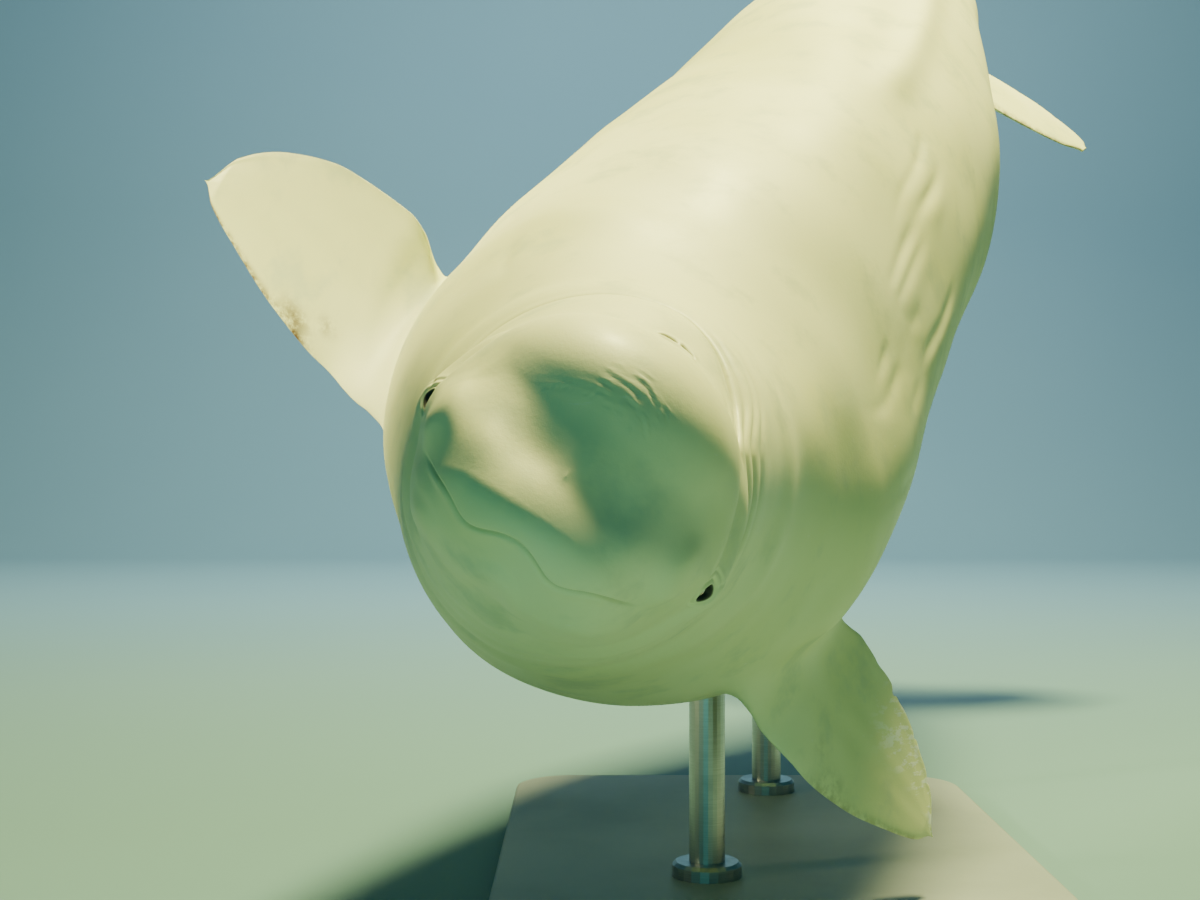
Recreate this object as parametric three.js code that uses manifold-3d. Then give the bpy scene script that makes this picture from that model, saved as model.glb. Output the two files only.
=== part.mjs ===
// Beluga whale, a life-size museum model held by a display stand.
// Units are millimetres. +Z is up, and the origin is the middle of the base's underside.
//
// The skin is first shaped on a straight body: "along" runs back from the tip of the upper lip,
// "side" to the whale's left and "rise" to its back. A bent spine then carries each point to its place.
import * as THREE from 'three';
import { mergeVertices } from 'three/addons/utils/BufferGeometryUtils.js';
import Module from 'manifold-3d';

const wasm = await Module();
wasm.setup();

// Joints between neighbouring pieces
const GAP = 0.3;

// Body sections on the straight whale: along, half width, top, bottom
const SECTIONS = [
  [80, 40, 40, -90],
  [130, 118, 118, -140],
  [200, 170, 162, -184],
  [270, 184, 178, -200],
  [345, 200, 200, -211],
  [450, 215, 244, -226],
  [550, 238, 266, -248],
  [705, 286, 288, -296],
  [865, 352, 318, -358],
  [1025, 408, 350, -410],
  [1345, 433, 398, -462],
  [1665, 424, 424, -484],
  [1985, 405, 429, -480],
  [2305, 388, 413, -450],
  [2625, 338, 366, -398],
  [2945, 260, 303, -326],
  [3265, 182, 235, -248],
  [3585, 106, 167, -166],
  [3795, 62, 112, -110],
  [3960, 34, 58, -60],
  [4060, 16, 22, -24],
];
const STOCK_END = 4060;

// The swimming curve: turns of the spine in degrees, against the place along the body
const PITCH_TURNS = [
  [0, 37], [300, 37], [815, 19], [1345, 0], [1880, -3.3], [2520, -11.1], [3160, 2.2], [3800, 11.7],
];
const YAW_TURNS = [
  [0, -3.5], [300, -3.5], [815, -5.1], [1345, 0], [1880, -2.5], [2520, 5.8], [3160, -7.6], [3800, -12.5],
];
const ROLL_TURNS = [[300, 1.1], [1000, 0], [1500, 0], [3000, 1.7]];

// How the waist hangs over the base
const WAIST = 1345;
const WAIST_AT = new THREE.Vector3(-160, -400, 925);
const HEADING = -19.2;
const DIVE = -25.9;
const BANK = -38.9;

// Head: ellipsoids by centre (along, rise) and half sizes (along, side, rise)
const MELON = { along: 200, rise: 50, half: [150, 150, 118] };
const MELON_FOOT = { along: 178, rise: -8, half: [120, 138, 76] };
const BEAK = { along: 118, rise: -82, half: [112, 96, 34] };
const LOWER_JAW = { along: 158, rise: -112, half: [138, 132, 57] };
const CHEEKS = { along: 172, rise: -50, half: [108, 148, 90] };
const LIP_ROLL = {
  front: 36, sweep: 134, reach: 168, radius: 31,
  thinFrom: 80, thin: 0.52, end: 142, fade: 44,
};
const BLEND = 30;
const FOLD_BLEND = { more: 40, rise: -34, width: 60 };
const HUB = { along: 160, rise: -75, ease: 250 };
const HEAD_BLEND_END = 420;

// Face lines
const CREASE = { rise: -50, lift: 0.0022 };
const MOUTH = {
  rise: -104, dip: 14, lobe: 50, lobeWidth: 28, liftFrom: 60, lift: 0.0037,
  corner: 150, open: 5, deep: 14,
};
const EYE = { along: 258, side: 178, rise: -27, half: [17, 11, 14] };
const LID = { half: [20, 13], radius: 4.5, sunk: 1.5, around: 28, sides: 8 };
const BLOWHOLE = { along: 352, half: 24, arch: 9, open: 3, deep: 16 };
const RIDGE = { from: 1750, to: 2950, easeIn: 350, easeOut: 400, height: 15, width: 42 };

// The nape's crease: its place along, against degrees round from the back (to the left above zero)
const NAPE = { depth: 11, width: 26, from: -120, to: 52, ease: 30 };
const NAPE_CREASE = [
  [-130, 430], [-89, 495], [-60, 545], [-30, 556], [-8, 540], [3, 492], [16, 428], [28, 385], [46, 310],
];

// Flippers: edges in shares of the length, against the share of the way out
const FLIPPER = { length: 492, thick: 34, inset: 60, sunk: 10, turnBy: 0.3 };
const RIGHT_FLIPPER = {
  name: 'flipper_right', side: -1, along: 1120, rise: -153,
  sweep: 12, droop: 1, root: 66, blade: 84, curl: 0.054,
};
const LEFT_FLIPPER = {
  name: 'flipper_left', side: 1, along: 991, rise: -130,
  sweep: 29.5, droop: 29.5, root: 28, blade: 20, curl: 0.143,
};
const FLIPPER_FRONT = [
  [0, -0.24], [0.12, -0.24], [0.3, -0.235], [0.55, -0.185], [0.78, -0.1], [0.93, -0.03], [1, 0.03],
];
const FLIPPER_BACK = [
  [0, 0.2], [0.12, 0.3], [0.3, 0.4], [0.55, 0.385], [0.78, 0.3], [0.93, 0.17], [1, 0.03],
];

// Flukes: place of the front and back edges along the body, against the share of the half span
const FLUKE = { span: 490, thick: 64, hinge: 4060, tilt: 0.17 };
const FLUKE_FRONT = [[0, 3740], [0.15, 3770], [0.4, 3822], [0.7, 3905], [0.9, 3985], [1, 4062]];
const FLUKE_BACK = [[0, 4080], [0.1, 4125], [0.35, 4192], [0.6, 4222], [0.85, 4204], [0.95, 4172], [1, 4122]];

// Stand
const BASE = { wide: 1000, deep: 1200, thick: 40, corner: 120, bevel: 6 };
const ROD = { radius: 32, sides: 24, collar: 62, collarHeight: 26 };
const RODS = [
  { name: 'stand_rod_front', x: -120, y: -330 },
  { name: 'stand_rod_rear', x: 60, y: 420 },
];

const radians = THREE.MathUtils.degToRad;

// A curve through [place, value] pairs that never overshoots them
function curve(pairs) {
  const at = pairs.map((pair) => pair[0]);
  const value = pairs.map((pair) => pair[1]);
  const last = at.length - 1;
  const step = at.slice(1).map((a, i) => a - at[i]);
  const rate = step.map((h, i) => (value[i + 1] - value[i]) / h);
  const slope = at.map((a, i) => {
    if (i === 0 || i === last || rate[i - 1] * rate[i] <= 0) return 0;
    const before = 2 * step[i] + step[i - 1];
    const after = step[i] + 2 * step[i - 1];
    return (before + after) / (before / rate[i - 1] + after / rate[i]);
  });
  return (x) => {
    if (x <= at[0]) return value[0];
    if (x >= at[last]) return value[last];
    let i = 0;
    while (at[i + 1] < x) i += 1;
    const t = (x - at[i]) / step[i];
    const rest = 1 - t;
    const ends = value[i] * (1 + 2 * t) * rest * rest + value[i + 1] * (3 - 2 * t) * t * t;
    return ends + step[i] * t * rest * (slope[i] * rest - slope[i + 1] * t);
  };
}

function ease(x) {
  const t = Math.min(1, Math.max(0, x));
  return t * t * t * (t * (6 * t - 15) + 10);
}

function bell(x, width) {
  return Math.exp(-((x / width) ** 2));
}

const halfWidth = curve(SECTIONS.map((row) => [row[0], row[1]]));
const topLine = curve(SECTIONS.map((row) => [row[0], row[2]]));
const bottomLine = curve(SECTIONS.map((row) => [row[0], row[3]]));
const napeCrease = curve(NAPE_CREASE);

// The spine as a list of frames, built outwards from the waist
const SPINE_STEP = 5;
const SPINE_END = 4400;
const spine = layOutSpine();

// Left and up for a direction, rolled about it
function turnedFrame(ahead, roll) {
  const left = new THREE.Vector3(0, 0, 1).cross(ahead).normalize().applyAxisAngle(ahead, roll);
  return { ahead, left, up: ahead.clone().cross(left) };
}

function spineFrame(along, turns) {
  const pitch = radians(turns.pitch(along));
  const yaw = radians(turns.yaw(along));
  const roll = radians(turns.roll(along));
  const level = Math.cos(pitch);
  const ahead = new THREE.Vector3(level * Math.cos(yaw), level * Math.sin(yaw), Math.sin(pitch));
  return turnedFrame(ahead, roll);
}

function layOutSpine() {
  const turns = { pitch: curve(PITCH_TURNS), yaw: curve(YAW_TURNS), roll: curve(ROLL_TURNS) };
  const count = SPINE_END / SPINE_STEP + 1;
  const frames = Array.from({ length: count }, (none, i) => spineFrame(i * SPINE_STEP, turns));
  const waist = WAIST / SPINE_STEP;
  frames[waist].at = new THREE.Vector3();
  for (let i = waist + 1; i < count; i += 1) {
    const middle = frames[i].ahead.clone().add(frames[i - 1].ahead).multiplyScalar(SPINE_STEP / 2);
    frames[i].at = frames[i - 1].at.clone().sub(middle);
  }
  for (let i = waist - 1; i >= 0; i -= 1) {
    const middle = frames[i].ahead.clone().add(frames[i + 1].ahead).multiplyScalar(SPINE_STEP / 2);
    frames[i].at = frames[i + 1].at.clone().add(middle);
  }
  return frames;
}

// The trunk's turn in the room: heading from -Y, then dive of the nose, then bank
function roomTurn() {
  const heading = radians(HEADING);
  const dive = radians(DIVE);
  const level = Math.cos(dive);
  const ahead = new THREE.Vector3(Math.sin(heading) * level, -Math.cos(heading) * level, Math.sin(dive));
  const { left, up } = turnedFrame(ahead, radians(BANK));
  return new THREE.Matrix4().makeBasis(ahead, left, up).setPosition(WAIST_AT);
}
const ROOM = roomTurn();

// From the straight body to the bent one in the room
function bend(along, side, rise) {
  const place = Math.min(SPINE_END, Math.max(0, along)) / SPINE_STEP;
  const i = Math.min(spine.length - 2, Math.floor(place));
  const t = place - i;
  const near = spine[i];
  const far = spine[i + 1];
  const at = near.at.clone().lerp(far.at, t);
  at.addScaledVector(near.left.clone().lerp(far.left, t), side);
  at.addScaledVector(near.up.clone().lerp(far.up, t), rise);
  at.addScaledVector(near.ahead, Math.max(0, -along));
  return at.applyMatrix4(ROOM);
}

// Rough distance outside an ellipsoid on the middle plane
function outsideEllipsoid(form, along, side, rise) {
  const [a, b, c] = form.half;
  const share = Math.hypot((along - form.along) / a, side / b, (rise - form.rise) / c);
  return (share - 1) * Math.min(a, b, c);
}

function outsideSection(along, side, rise) {
  const top = topLine(along);
  const bottom = bottomLine(along);
  const high = (top - bottom) / 2;
  const wide = halfWidth(along);
  const share = Math.hypot(side / wide, (rise - (top + bottom) / 2) / high);
  const ahead = Math.max(0, SECTIONS[0][0] - along);
  return (share - 1) * Math.min(wide, high) + ahead;
}

function blendSolids(first, second, width = BLEND) {
  const share = Math.max(0, width - Math.abs(first - second)) / width;
  return Math.min(first, second) - share * share * width / 4;
}

function mouthRise(side) {
  const out = Math.abs(side);
  const lobes = MOUTH.dip * bell(out - MOUTH.lobe, MOUTH.lobeWidth);
  return MOUTH.rise - lobes + MOUTH.lift * Math.max(0, out - MOUTH.liftFrom) ** 2;
}

function creaseRise(side) {
  return CREASE.rise + CREASE.lift * side * side;
}

// The upper lip, a roll that runs round the melon from one cheek to the other
function outsideLipRoll(along, side, rise) {
  const out = Math.abs(side);
  const share = out / LIP_ROLL.reach;
  const lean = 2 * LIP_ROLL.sweep * share / LIP_ROLL.reach;
  const behind = (along - LIP_ROLL.front - LIP_ROLL.sweep * share * share) / Math.hypot(1, lean);
  const above = rise - (creaseRise(side) + mouthRise(side)) / 2;
  const thinner = 1 - LIP_ROLL.thin * ease((out - LIP_ROLL.thinFrom) / (LIP_ROLL.end - LIP_ROLL.thinFrom));
  const radius = LIP_ROLL.radius * thinner - LIP_ROLL.fade * ease((out - LIP_ROLL.end) / LIP_ROLL.fade);
  return Math.hypot(behind, above) - radius;
}

function napeFold(along, side, rise) {
  const around = THREE.MathUtils.radToDeg(Math.atan2(side, rise));
  const shows = ease((around - NAPE.from) / NAPE.ease) * ease((NAPE.to - around) / NAPE.ease);
  return NAPE.depth * bell(along - napeCrease(around), NAPE.width) * shows;
}

function backRidge(along, side, rise) {
  const length = ease((along - RIDGE.from) / RIDGE.easeIn) * ease((RIDGE.to - along) / RIDGE.easeOut);
  return rise > 0 ? RIDGE.height * bell(side, RIDGE.width) * length : 0;
}

// The head's forms, blended onto the plain section
function blendHead(section, along, side, rise) {
  let away = section;
  [LOWER_JAW, CHEEKS, BEAK].forEach((form) => {
    away = blendSolids(away, outsideEllipsoid(form, along, side, rise));
  });
  away = blendSolids(away, outsideLipRoll(along, side, rise));
  const upper = outsideEllipsoid(MELON, along, side, rise);
  const melon = blendSolids(upper, outsideEllipsoid(MELON_FOOT, along, side, rise));
  const foldBlend = BLEND + FOLD_BLEND.more * bell(rise - FOLD_BLEND.rise, FOLD_BLEND.width);
  return blendSolids(away, melon, foldBlend);
}

// Below zero inside the whale, above zero outside
function outsideBody(along, side, rise) {
  let away = outsideSection(along, side, rise);
  if (along < HEAD_BLEND_END) away = blendHead(away, along, side, rise);
  return away + napeFold(along, side, rise) - backRidge(along, side, rise);
}

const LONGEST_REACH = 620;
const HALVINGS = 26;

// Where a line from inside the body leaves it, found by halving
function leave(from, way) {
  let inside = 0;
  let outside = LONGEST_REACH;
  for (let i = 0; i < HALVINGS; i += 1) {
    const middle = (inside + outside) / 2;
    const away = outsideBody(from[0] + way[0] * middle, way[1] * middle, from[1] + way[2] * middle);
    if (away > 0) outside = middle;
    else inside = middle;
  }
  return inside;
}

// A skin point by its ring: a negative place turns forwards round the hub, down to -1 at the lip
function skinPoint(place, turn, grow = 0) {
  const ahead = place < 0 ? Math.sin(-place * Math.PI / 2) : 0;
  const out = Math.sqrt(1 - ahead * ahead);
  const way = [-ahead, out * Math.cos(turn), out * Math.sin(turn)];
  const along = place < 0 ? HUB.along : place;
  const middle = (topLine(along) + bottomLine(along)) / 2;
  const from = [along, HUB.rise + (middle - HUB.rise) * ease((along - HUB.along) / HUB.ease)];
  const reach = leave(from, way) + grow;
  return [from[0] + way[0] * reach, way[1] * reach, from[1] + way[2] * reach];
}

// Closed solid from rings of points, each end drawn to a point in its middle
function closedLoft(rings, start, end) {
  const around = rings[0].length;
  const points = [...rings.flat(), start, end];
  const faces = [];
  for (let i = 0; i + 1 < rings.length; i += 1) {
    for (let j = 0; j < around; j += 1) {
      const a = i * around + j;
      const b = i * around + (j + 1) % around;
      faces.push(a, b, a + around, b, b + around, a + around);
    }
  }
  const first = points.length - 2;
  const tail = (rings.length - 1) * around;
  for (let j = 0; j < around; j += 1) {
    const next = (j + 1) % around;
    faces.push(first, next, j, first + 1, tail + j, tail + next);
  }
  return faceOut(points, faces);
}

function faceOut(points, faces) {
  let volume = 0;
  for (let i = 0; i < faces.length; i += 3) {
    const [a, b, c] = [points[faces[i]], points[faces[i + 1]], points[faces[i + 2]]];
    volume += a.dot(b.clone().cross(c));
  }
  const turned = volume > 0 ? faces : faces.slice().reverse();
  const geometry = new THREE.BufferGeometry();
  const places = points.flatMap((point) => point.toArray());
  geometry.setAttribute('position', new THREE.Float32BufferAttribute(places, 3));
  geometry.setIndex(turned);
  return geometry;
}

function middleOf(ring) {
  const sum = new THREE.Vector3();
  ring.forEach((point) => sum.add(point));
  return sum.divideScalar(ring.length);
}

function cappedLoft(rings) {
  return closedLoft(rings, middleOf(rings[0]), middleOf(rings[rings.length - 1]));
}

function toSolid(geometry) {
  const bare = geometry.clone();
  bare.deleteAttribute('normal');
  bare.deleteAttribute('uv');
  const merged = mergeVertices(bare, 1e-4);
  const vertProperties = new Float32Array(merged.attributes.position.array);
  const triVerts = new Uint32Array(merged.index.array);
  return new wasm.Manifold(new wasm.Mesh({ numProp: 3, vertProperties, triVerts }));
}

// The largest closed surface of a solid, as geometry
function toGeometry(solid) {
  const pieces = solid.decompose();
  const largest = pieces.reduce((best, piece) => (piece.volume() > best.volume() ? piece : best));
  const mesh = largest.getMesh();
  const geometry = new THREE.BufferGeometry();
  geometry.setAttribute('position', new THREE.Float32BufferAttribute(mesh.vertProperties, 3));
  geometry.setIndex(Array.from(mesh.triVerts));
  return geometry;
}

function range(from, to, count) {
  return Array.from({ length: count + 1 }, (none, i) => from + (to - from) * i / count);
}

function turnsAround(count) {
  return Array.from({ length: count }, (none, j) => 2 * Math.PI * (j + 0.5) / count);
}

function bodyRing(place, count, grow) {
  return turnsAround(count).map((turn) => bend(...skinPoint(place, turn, grow)));
}

// One length of the trunk, cut square to the spine at both ends
function trunkLength(from, to, rings, count, grow = 0) {
  const places = range(from + GAP / 2 - grow, to - GAP / 2 + grow, rings);
  const loft = places.map((place) => bodyRing(place, count, grow));
  return cappedLoft(loft);
}

const HEAD_SIDES = 72;
const TRUNK_SIDES = 44;
const HEAD_END = 440;

function headShape() {
  const dome = range(-0.985, 0, 20).slice(0, -1);
  const barrel = range(HUB.along, HEAD_END - GAP / 2, 14);
  const loft = [...dome, ...barrel].map((place) => bodyRing(place, HEAD_SIDES, 0));
  const lipTip = bend(...skinPoint(-1, 0));
  return closedLoft(loft, lipTip, middleOf(loft[loft.length - 1]));
}

const FACE_FROM = -30;
const FACE_TO = 280;
const FACE_STEP = 2;

// Where a line from the front meets the face
function faceAt(side, rise) {
  let clear = FACE_FROM;
  let inside = FACE_TO;
  for (let along = clear; along < inside; along += FACE_STEP) {
    if (outsideBody(along, side, rise) > 0) clear = along;
    else inside = along;
  }
  return (clear + inside) / 2;
}

// A curved wedge that opens the mouth line between the lips
function mouthWedge() {
  const rings = range(-MOUTH.corner, MOUTH.corner, 44).map((side) => {
    const rise = mouthRise(side);
    const along = faceAt(side, rise);
    const turn = Math.atan(2 * LIP_ROLL.sweep * side / LIP_ROLL.reach ** 2);
    const fade = Math.max(0.15, Math.sqrt(1 - (side / MOUTH.corner) ** 2));
    const point = (depth, high) => {
      const inwards = side - depth * Math.sin(turn);
      return bend(along + depth * Math.cos(turn), inwards, rise + high);
    };
    const edge = MOUTH.open * fade + 1;
    const deep = MOUTH.deep * fade;
    return [point(-MOUTH.open, edge), point(deep, 0.8), point(deep, -0.8), point(-MOUTH.open, -edge)];
  });
  return cappedLoft(rings);
}

// Crescent slit of the blowhole, its horns pointing forwards
function blowholeWedge() {
  const rings = range(-1, 1, 12).map((share) => {
    const side = BLOWHOLE.half * share;
    const along = BLOWHOLE.along + BLOWHOLE.arch * (1 - share * share);
    const top = leave([along, 0], [0, side / 250, 1]);
    const open = BLOWHOLE.open * Math.sqrt(1.05 - share * share);
    const deep = BLOWHOLE.deep * (1.2 - share * share);
    const point = (behind, high) => bend(along + behind, side, high);
    return [point(open, top + 4), point(0.5, top - deep), point(-0.5, top - deep), point(-open, top + 4)];
  });
  return cappedLoft(rings);
}

// The two lids as one soft rim round the eye
function lidRim(side) {
  const { around, sides } = LID;
  const points = [];
  const faces = [];
  for (let i = 0; i < around; i += 1) {
    const turn = 2 * Math.PI * i / around;
    const out = [Math.cos(turn), Math.sin(turn)];
    const along = EYE.along + LID.half[0] * out[0];
    const rise = EYE.rise + LID.half[1] * out[1];
    const reach = leave([along, rise], [0, side, 0]) - LID.sunk;
    for (let j = 0; j < sides; j += 1) {
      const roll = 2 * Math.PI * j / sides;
      const wide = LID.radius * Math.cos(roll);
      const clear = side * (reach + LID.radius * Math.sin(roll));
      points.push(bend(along + wide * out[0], clear, rise + wide * out[1]));
      const next = (i + 1) % around * sides;
      const up = (j + 1) % sides;
      faces.push(i * sides + j, next + j, i * sides + up, next + j, next + up, i * sides + up);
    }
  }
  return faceOut(points, faces);
}

function eyeBall(side, grow) {
  const ball = new THREE.SphereGeometry(1, 12, 8);
  ball.scale(EYE.half[0] + grow, EYE.half[1] + grow, EYE.half[2] + grow);
  const place = ball.attributes.position;
  for (let i = 0; i < place.count; i += 1) {
    const at = bend(EYE.along - place.getX(i), side * EYE.side + place.getY(i), EYE.rise + place.getZ(i));
    place.setXYZ(i, at.x, at.y, at.z);
  }
  return ball;
}

// Fin section from front edge to back edge, thickest at a third of the chord
function finSection(sides) {
  return turnsAround(sides).map((turn) => {
    const along = (1 - Math.cos(turn)) / 2;
    const thick = 1.9 * Math.sqrt(along) * (1 - along) + 0.03 * Math.sin(Math.PI * along);
    return [along, (turn < Math.PI ? 0.5 : -0.5) * thick];
  });
}
const FIN_SECTION = finSection(18);

function finShare(count) {
  return range(0, 1, count).map((t) => 1 - (1 - t) ** 1.8).slice(0, -1);
}

// How far out the trunk's side is at a height
function sideAt(along, rise) {
  const top = topLine(along);
  const bottom = bottomLine(along);
  const share = (2 * rise - top - bottom) / (top - bottom);
  return halfWidth(along) * Math.sqrt(1 - share * share);
}

function flipperShape(fin) {
  const front = curve(FLIPPER_FRONT);
  const back = curve(FLIPPER_BACK);
  const root = bend(fin.along, fin.side * (sideAt(fin.along, fin.rise) - FLIPPER.sunk), fin.rise);
  const base = bend(fin.along, 0, 0);
  const left = bend(fin.along, 1, 0).sub(base);
  const up = bend(fin.along, 0, 1).sub(base);
  const ahead = left.clone().cross(up);
  const out = left.clone().multiplyScalar(fin.side);
  const sweep = radians(fin.sweep);
  const droop = radians(fin.droop);
  const span = out.clone().multiplyScalar(Math.cos(sweep) * Math.cos(droop));
  span.addScaledVector(ahead, -Math.sin(sweep) * Math.cos(droop)).addScaledVector(up, -Math.sin(droop));
  const rear = ahead.clone().negate();
  rear.addScaledVector(span, -rear.dot(span)).normalize();
  const lift = span.clone().cross(rear).multiplyScalar(fin.side);
  if (lift.dot(up) < 0) lift.negate();
  const length = FLIPPER.length;
  const ringAt = (share, reach) => {
    const angle = radians(fin.root + (fin.blade - fin.root) * ease(share / FLIPPER.turnBy));
    const chordWay = rear.clone().multiplyScalar(Math.cos(angle)).addScaledVector(lift, Math.sin(angle));
    const face = span.clone().cross(chordWay).normalize();
    if (face.dot(ahead) < 0) face.negate();
    const lead = front(share) * length;
    const chord = back(share) * length - lead;
    const thick = FLIPPER.thick * (1 - 0.72 * share) * Math.min(1, chord / 120);
    return FIN_SECTION.map(([along, high]) => root.clone()
      .addScaledVector(span, reach)
      .addScaledVector(chordWay, lead + chord * along)
      .addScaledVector(face, high * thick + fin.curl * share * share * length));
  };
  const rings = [ringAt(0, -FLIPPER.inset), ...finShare(16).map((share) => ringAt(share, share * length))];
  return cappedLoft(rings);
}

function flukeShape(side) {
  const front = curve(FLUKE_FRONT);
  const back = curve(FLUKE_BACK);
  const rings = [...finShare(16), 0.992].map((reach) => {
    const lead = front(reach);
    const chord = back(reach) - lead;
    const thick = FLUKE.thick * (1 - 0.8 * reach);
    const out = side * (GAP / 2 + reach * FLUKE.span);
    return FIN_SECTION.map(([share, high]) => {
      const along = lead + chord * share;
      return bend(along, out, high * thick + (along - FLUKE.hinge) * FLUKE.tilt);
    });
  });
  return cappedLoft(rings);
}

function baseShape() {
  const w = BASE.wide / 2 - BASE.bevel;
  const d = BASE.deep / 2 - BASE.bevel;
  const r = BASE.corner;
  const outline = new THREE.Shape();
  outline.moveTo(-w + r, -d);
  outline.lineTo(w - r, -d).absarc(w - r, -d + r, r, -Math.PI / 2, 0);
  outline.lineTo(w, d - r).absarc(w - r, d - r, r, 0, Math.PI / 2);
  outline.lineTo(-w + r, d).absarc(-w + r, d - r, r, Math.PI / 2, Math.PI);
  outline.lineTo(-w, -d + r).absarc(-w + r, -d + r, r, Math.PI, 1.5 * Math.PI);
  const depth = BASE.thick - 2 * BASE.bevel;
  const edge = { bevelSize: BASE.bevel, bevelThickness: BASE.bevel, bevelSegments: 2 };
  const settings = { depth, curveSegments: 6, ...edge };
  const slab = new THREE.ExtrudeGeometry(outline, settings);
  return slab.translate(0, 0, BASE.bevel);
}

// A rod with a foot collar, long enough to reach well into the body before it is trimmed
function rodShape(rod) {
  const floor = BASE.thick + GAP;
  const profile = [
    [0, floor],
    [ROD.collar, floor],
    [ROD.collar, floor + ROD.collarHeight - 6],
    [ROD.collar - 6, floor + ROD.collarHeight],
    [ROD.radius, floor + ROD.collarHeight],
    [ROD.radius, 900],
    [0, 900],
  ];
  const lathe = new THREE.LatheGeometry(profile.map(([r, z]) => new THREE.Vector2(r, z)), ROD.sides);
  return lathe.rotateX(Math.PI / 2).translate(rod.x, rod.y, 0);
}

const whale = new THREE.Group();
whale.name = 'beluga_whale';

const finishes = {
  skin: new THREE.MeshStandardMaterial({ color: 0xe9e6d2, roughness: 0.42, metalness: 0 }),
  eye: new THREE.MeshStandardMaterial({ color: 0x1b1714, roughness: 0.12, metalness: 0 }),
  base: new THREE.MeshStandardMaterial({ color: 0x8c949a, roughness: 0.6, metalness: 0 }),
  rod: new THREE.MeshStandardMaterial({ color: 0xb9bcbf, roughness: 0.3, metalness: 1 }),
};

function add(name, geometry, finish) {
  const mesh = new THREE.Mesh(geometry, finishes[finish]);
  mesh.name = name;
  whale.add(mesh);
}

const TRUNK = [
  { name: 'neck', from: HEAD_END, to: 760, rings: 8 },
  { name: 'chest', from: 760, to: 1500, rings: 10 },
  { name: 'belly', from: 1500, to: 2400, rings: 9 },
  { name: 'tail_front', from: 2400, to: 3200, rings: 8 },
  { name: 'tail_stock', from: 3200, to: STOCK_END, rings: 12 },
];

function buildHead() {
  let head = toSolid(headShape());
  for (const side of [-1, 1]) {
    head = head.add(toSolid(lidRim(side))).subtract(toSolid(eyeBall(side, GAP)));
  }
  head = head.subtract(toSolid(mouthWedge())).subtract(toSolid(blowholeWedge()));
  add('head', toGeometry(head), 'skin');
  add('eye_right', eyeBall(-1, 0), 'eye');
  add('eye_left', eyeBall(1, 0), 'eye');
}

function buildTrunk() {
  for (const part of TRUNK) {
    add(part.name, trunkLength(part.from, part.to, part.rings, TRUNK_SIDES), 'skin');
  }
}

function grownTrunk(name) {
  const part = TRUNK.find((row) => row.name === name);
  return toSolid(trunkLength(part.from, part.to, part.rings, TRUNK_SIDES, GAP));
}

function buildFlippers() {
  for (const fin of [RIGHT_FLIPPER, LEFT_FLIPPER]) {
    add(fin.name, toGeometry(toSolid(flipperShape(fin)).subtract(grownTrunk('chest'))), 'skin');
  }
}

function buildFlukes() {
  const stock = grownTrunk('tail_stock');
  add('fluke_right', toGeometry(toSolid(flukeShape(-1)).subtract(stock)), 'skin');
  add('fluke_left', toGeometry(toSolid(flukeShape(1)).subtract(stock)), 'skin');
}

function buildStand() {
  add('stand_base', baseShape(), 'base');
  for (const rod of RODS) {
    const trimmed = toSolid(rodShape(rod)).subtract(grownTrunk('chest')).subtract(grownTrunk('belly'));
    add(rod.name, toGeometry(trimmed), 'rod');
  }
}

buildHead();
buildTrunk();
buildFlippers();
buildFlukes();
buildStand();

export default whale;
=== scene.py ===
import math

import bpy
import numpy as np
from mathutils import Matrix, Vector
from mathutils.bvhtree import BVHTree


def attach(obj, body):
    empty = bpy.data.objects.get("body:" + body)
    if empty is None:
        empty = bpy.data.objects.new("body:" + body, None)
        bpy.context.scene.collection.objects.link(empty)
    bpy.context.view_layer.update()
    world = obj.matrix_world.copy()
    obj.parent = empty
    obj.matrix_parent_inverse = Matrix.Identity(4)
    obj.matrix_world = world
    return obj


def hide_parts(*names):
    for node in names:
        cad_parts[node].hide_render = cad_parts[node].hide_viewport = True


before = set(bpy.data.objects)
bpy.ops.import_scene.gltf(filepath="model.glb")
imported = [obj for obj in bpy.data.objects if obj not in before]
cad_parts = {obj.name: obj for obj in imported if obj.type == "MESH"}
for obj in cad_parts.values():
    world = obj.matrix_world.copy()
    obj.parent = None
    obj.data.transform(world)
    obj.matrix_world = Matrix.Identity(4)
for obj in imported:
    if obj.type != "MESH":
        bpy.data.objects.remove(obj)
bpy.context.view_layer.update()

MM = 0.001

# Body sections on the straight whale: along, half width, top, bottom
SECTIONS = [
    (80, 40, 40, -90), (130, 118, 118, -140), (200, 170, 162, -184), (270, 184, 178, -200),
    (345, 200, 200, -211), (450, 215, 244, -226), (550, 238, 266, -248), (705, 286, 288, -296),
    (865, 352, 318, -358), (1025, 408, 350, -410), (1345, 433, 398, -462), (1665, 424, 424, -484),
    (1985, 405, 429, -480), (2305, 388, 413, -450), (2625, 338, 366, -398), (2945, 260, 303, -326),
    (3265, 182, 235, -248), (3585, 106, 167, -166), (3795, 62, 112, -110), (3960, 34, 58, -60),
    (4060, 16, 22, -24),
]
FIRST_SECTION = 80
STOCK_END = 4060

# The swimming curve: turns of the spine in degrees, against the place along the body
PITCH_TURNS = [
    (0, 37), (300, 37), (815, 19), (1345, 0), (1880, -3.3), (2520, -11.1), (3160, 2.2), (3800, 11.7),
]
YAW_TURNS = [
    (0, -3.5), (300, -3.5), (815, -5.1), (1345, 0), (1880, -2.5), (2520, 5.8), (3160, -7.6), (3800, -12.5),
]
ROLL_TURNS = [(300, 1.1), (1000, 0), (1500, 0), (3000, 1.7)]
WAIST = 1345
WAIST_AT = (-160, -400, 925)
HEADING, DIVE, BANK = -19.2, -25.9, -38.9
SPINE_STEP = 5
SPINE_END = 4400

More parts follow.
